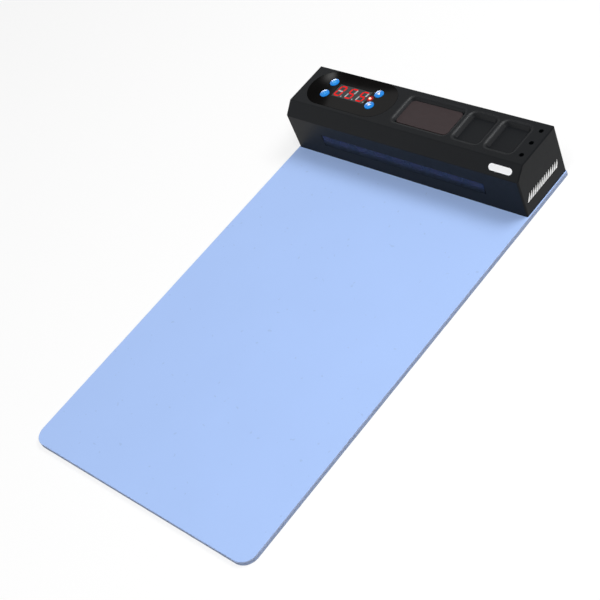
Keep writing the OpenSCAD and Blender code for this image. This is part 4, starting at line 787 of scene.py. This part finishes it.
FLOOR_REACH = 6.0
PAPER_GREY = 0.8
PAPER_SHINE = 0.72
floor_corners = bar_points(-FLOOR_REACH, -FLOOR_REACH, FLOOR_REACH, FLOOR_REACH)
floor = mesh_object("floor", [(x, y, -SKIN) for x, y in floor_corners], [(0, 1, 2, 3)])
floor_look = material("floor_paper", (PAPER_GREY, PAPER_GREY, PAPER_GREY), 1.0, specular=0.0)
floor_tree = floor_look.node_tree
floor_shader = floor_tree.nodes["Principled BSDF"]
floor_tree.links.new(pick(floor_tree, 1.0, PAPER_GREY), floor_shader.inputs["Base Color"])
paper_white = floor_tree.nodes.new("ShaderNodeEmission")
paper_mix = floor_tree.nodes.new("ShaderNodeMixShader")
floor_tree.links.new(pick(floor_tree, PAPER_SHINE, 0.0), paper_mix.inputs["Fac"])
floor_tree.links.new(floor_shader.outputs["BSDF"], paper_mix.inputs[1])
floor_tree.links.new(paper_white.outputs["Emission"], paper_mix.inputs[2])
floor_tree.links.new(paper_mix.outputs["Shader"], floor_tree.nodes["Material Output"].inputs["Surface"])
floor.data.materials.append(floor_look)
floor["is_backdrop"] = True

SHEEN_DISTANCE = 1.3


def lamp(name, toward, distance, size, share):
    """Soft area lamp that lights the middle of the mat to the given share of full white."""
    direction = Vector(toward).normalized()
    data = bpy.data.lights.new(name, "AREA")
    data.shape = "SQUARE"
    data.size = size
    data.energy = share * math.pi ** 2 * distance ** 2 / direction.z
    thing = bpy.data.objects.new(name, data)
    thing.location = direction * distance
    thing.rotation_euler = (-direction).to_track_quat("-Z", "Y").to_euler()
    bpy.context.scene.collection.objects.link(thing)
    return thing


def sheen(name, toward, size, radiance, receivers):
    """Strip of light that only the receivers show, and only in their gloss."""
    strip = lamp(name, toward, SHEEN_DISTANCE, size, 0)
    strip.data.energy = radiance * math.pi * size ** 2
    strip.visible_diffuse = False
    chosen = bpy.data.collections.new(name + "_receivers")
    for thing in receivers:
        chosen.objects.link(thing)
    strip.light_linking.receiver_collection = chosen


key = lamp("key", (0.35, 0.46, 0.86), distance=1.3, size=0.5, share=0.40)
key.visible_glossy = False
fill = lamp("fill", (0.3, -0.25, 0.92), distance=1.6, size=1.0, share=0.59)
fill.visible_glossy = False

# In turn: the bright line down the left of each tray's rim and its bend at the rear corner, the rear and
# the left slopes of the trays, the sloping face of the box, and the glint on the buttons
buttons = [nodes["button_" + name] for name in button_marks]
sheen("rim_sheen", (0.35, 0.40, 0.85), size=0.65, radiance=20, receivers=[rims])
sheen("corner_sheen", (-0.02, 0.02, 1.0), size=0.5, radiance=9, receivers=[rims])
sheen("slope_sheen", (-0.56, -0.78, 0.26), size=0.8, radiance=1.8, receivers=[rims])
sheen("wall_sheen", (0.87, 0.40, 0.27), size=0.7, radiance=2.2, receivers=[rims])
sheen("bevel_sheen", (-0.55, -0.72, 0.45), size=1.4, radiance=0.45, receivers=[nodes["housing"]])
sheen("button_sheen", (-0.73, 0.66, 0.14), size=0.35, radiance=8, receivers=buttons)

# Graded card that the film mirrors. Its soft edge is given where the camera sees it on the film, in mm:
# dark on its left, going rearwards and then to the right. A pale patch lies near the left rear corner.
SHADE_EDGE = [
    (-59, 112), (-62, 121.5), (-64.3, 127), (-66.3, 131), (-67.3, 136), (-65, 139.3), (-56, 140.4),
    (-42, 141.4), (-30, 143), (-25, 145.3), (-12, 149.5),
]
SHADE_SOFTNESS = 1.3
PATCH_MIDDLE = Vector((-75.3, 144.6))
PATCH_SPREAD = 3.2
PATCH_RADIANCE = 5.0
PATCH_CUT = (Vector((-74.5, 148.5)), Vector((-70.5, 141)))
PATCH_CUT_SOFTNESS = 0.8
CARD_X = (-130, -8)
CARD_Y = (112, 185)
CARD_STEP = 1.25
CARD_DISTANCE = 0.8


def smooth_share(value, softness):
    """0 below minus the softness, 1 above it, and a smooth step between."""
    t = max(0, min(1, 0.5 + value / (2 * softness)))
    return t * t * (3 - 2 * t)


def side_of(a, b, p):
    """Distance of p from the segment a-b, positive on its right."""
    along = b - a
    share = max(0, min(1, (p - a).dot(along) / along.length_squared))
    gap = (p - a - along * share).length
    return gap if along.x * (p - a).y - along.y * (p - a).x < 0 else -gap


def card_shade(x, y):
    """Brightness of the card where the camera sees it mirrored at a point of the film."""
    p = Vector((x, y))
    edge = [Vector(q) for q in SHADE_EDGE]
    nearest = min((side_of(a, b, p) for a, b in zip(edge, edge[1:])), key=abs)
    patch = PATCH_RADIANCE * math.exp(-(p - PATCH_MIDDLE).length_squared / (2 * PATCH_SPREAD ** 2))
    beyond_cut = smooth_share(side_of(*PATCH_CUT, p), PATCH_CUT_SOFTNESS)
    return smooth_share(nearest, SHADE_SOFTNESS) + patch * beyond_cut


def mirrored(x_mm, y_mm):
    """Point of the surroundings that the camera sees mirrored at a point of the film."""
    on_film = Vector((x_mm * MM, y_mm * MM, TOP_Z))
    view = (on_film - CAMERA_AT).normalized()
    return on_film + Vector((view.x, view.y, -view.z)) * CARD_DISTANCE


columns = round((CARD_X[1] - CARD_X[0]) / CARD_STEP)
rows = round((CARD_Y[1] - CARD_Y[0]) / CARD_STEP)
spots = [
    (CARD_X[0] + i * CARD_STEP, CARD_Y[0] + j * CARD_STEP)
    for j in range(rows + 1) for i in range(columns + 1)
]
cells = [j * (columns + 1) + i for j in range(rows) for i in range(columns)]
card = mesh_object("graded_card", [mirrored(*p) for p in spots],
                   [(k, k + 1, k + columns + 2, k + columns + 1) for k in cells])
shade = card.data.attributes.new("shade", "FLOAT", "POINT")
shade.data.foreach_set("value", [card_shade(*p) for p in spots])
card_look = bpy.data.materials.new("card_shade")
card_look.use_nodes = True
card_tree = card_look.node_tree
card_tree.nodes.remove(card_tree.nodes["Principled BSDF"])
card_value = card_tree.nodes.new("ShaderNodeAttribute")
card_value.attribute_name = "shade"
card_glow = card_tree.nodes.new("ShaderNodeEmission")
card_tree.links.new(card_value.outputs["Fac"], card_glow.inputs["Strength"])
card_tree.links.new(card_glow.outputs["Emission"], card_tree.nodes["Material Output"].inputs["Surface"])
card.data.materials.append(card_look)
card.visible_camera = False
card.visible_diffuse = False
card.visible_shadow = False
card.visible_transmission = False
card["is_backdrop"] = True

low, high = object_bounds()
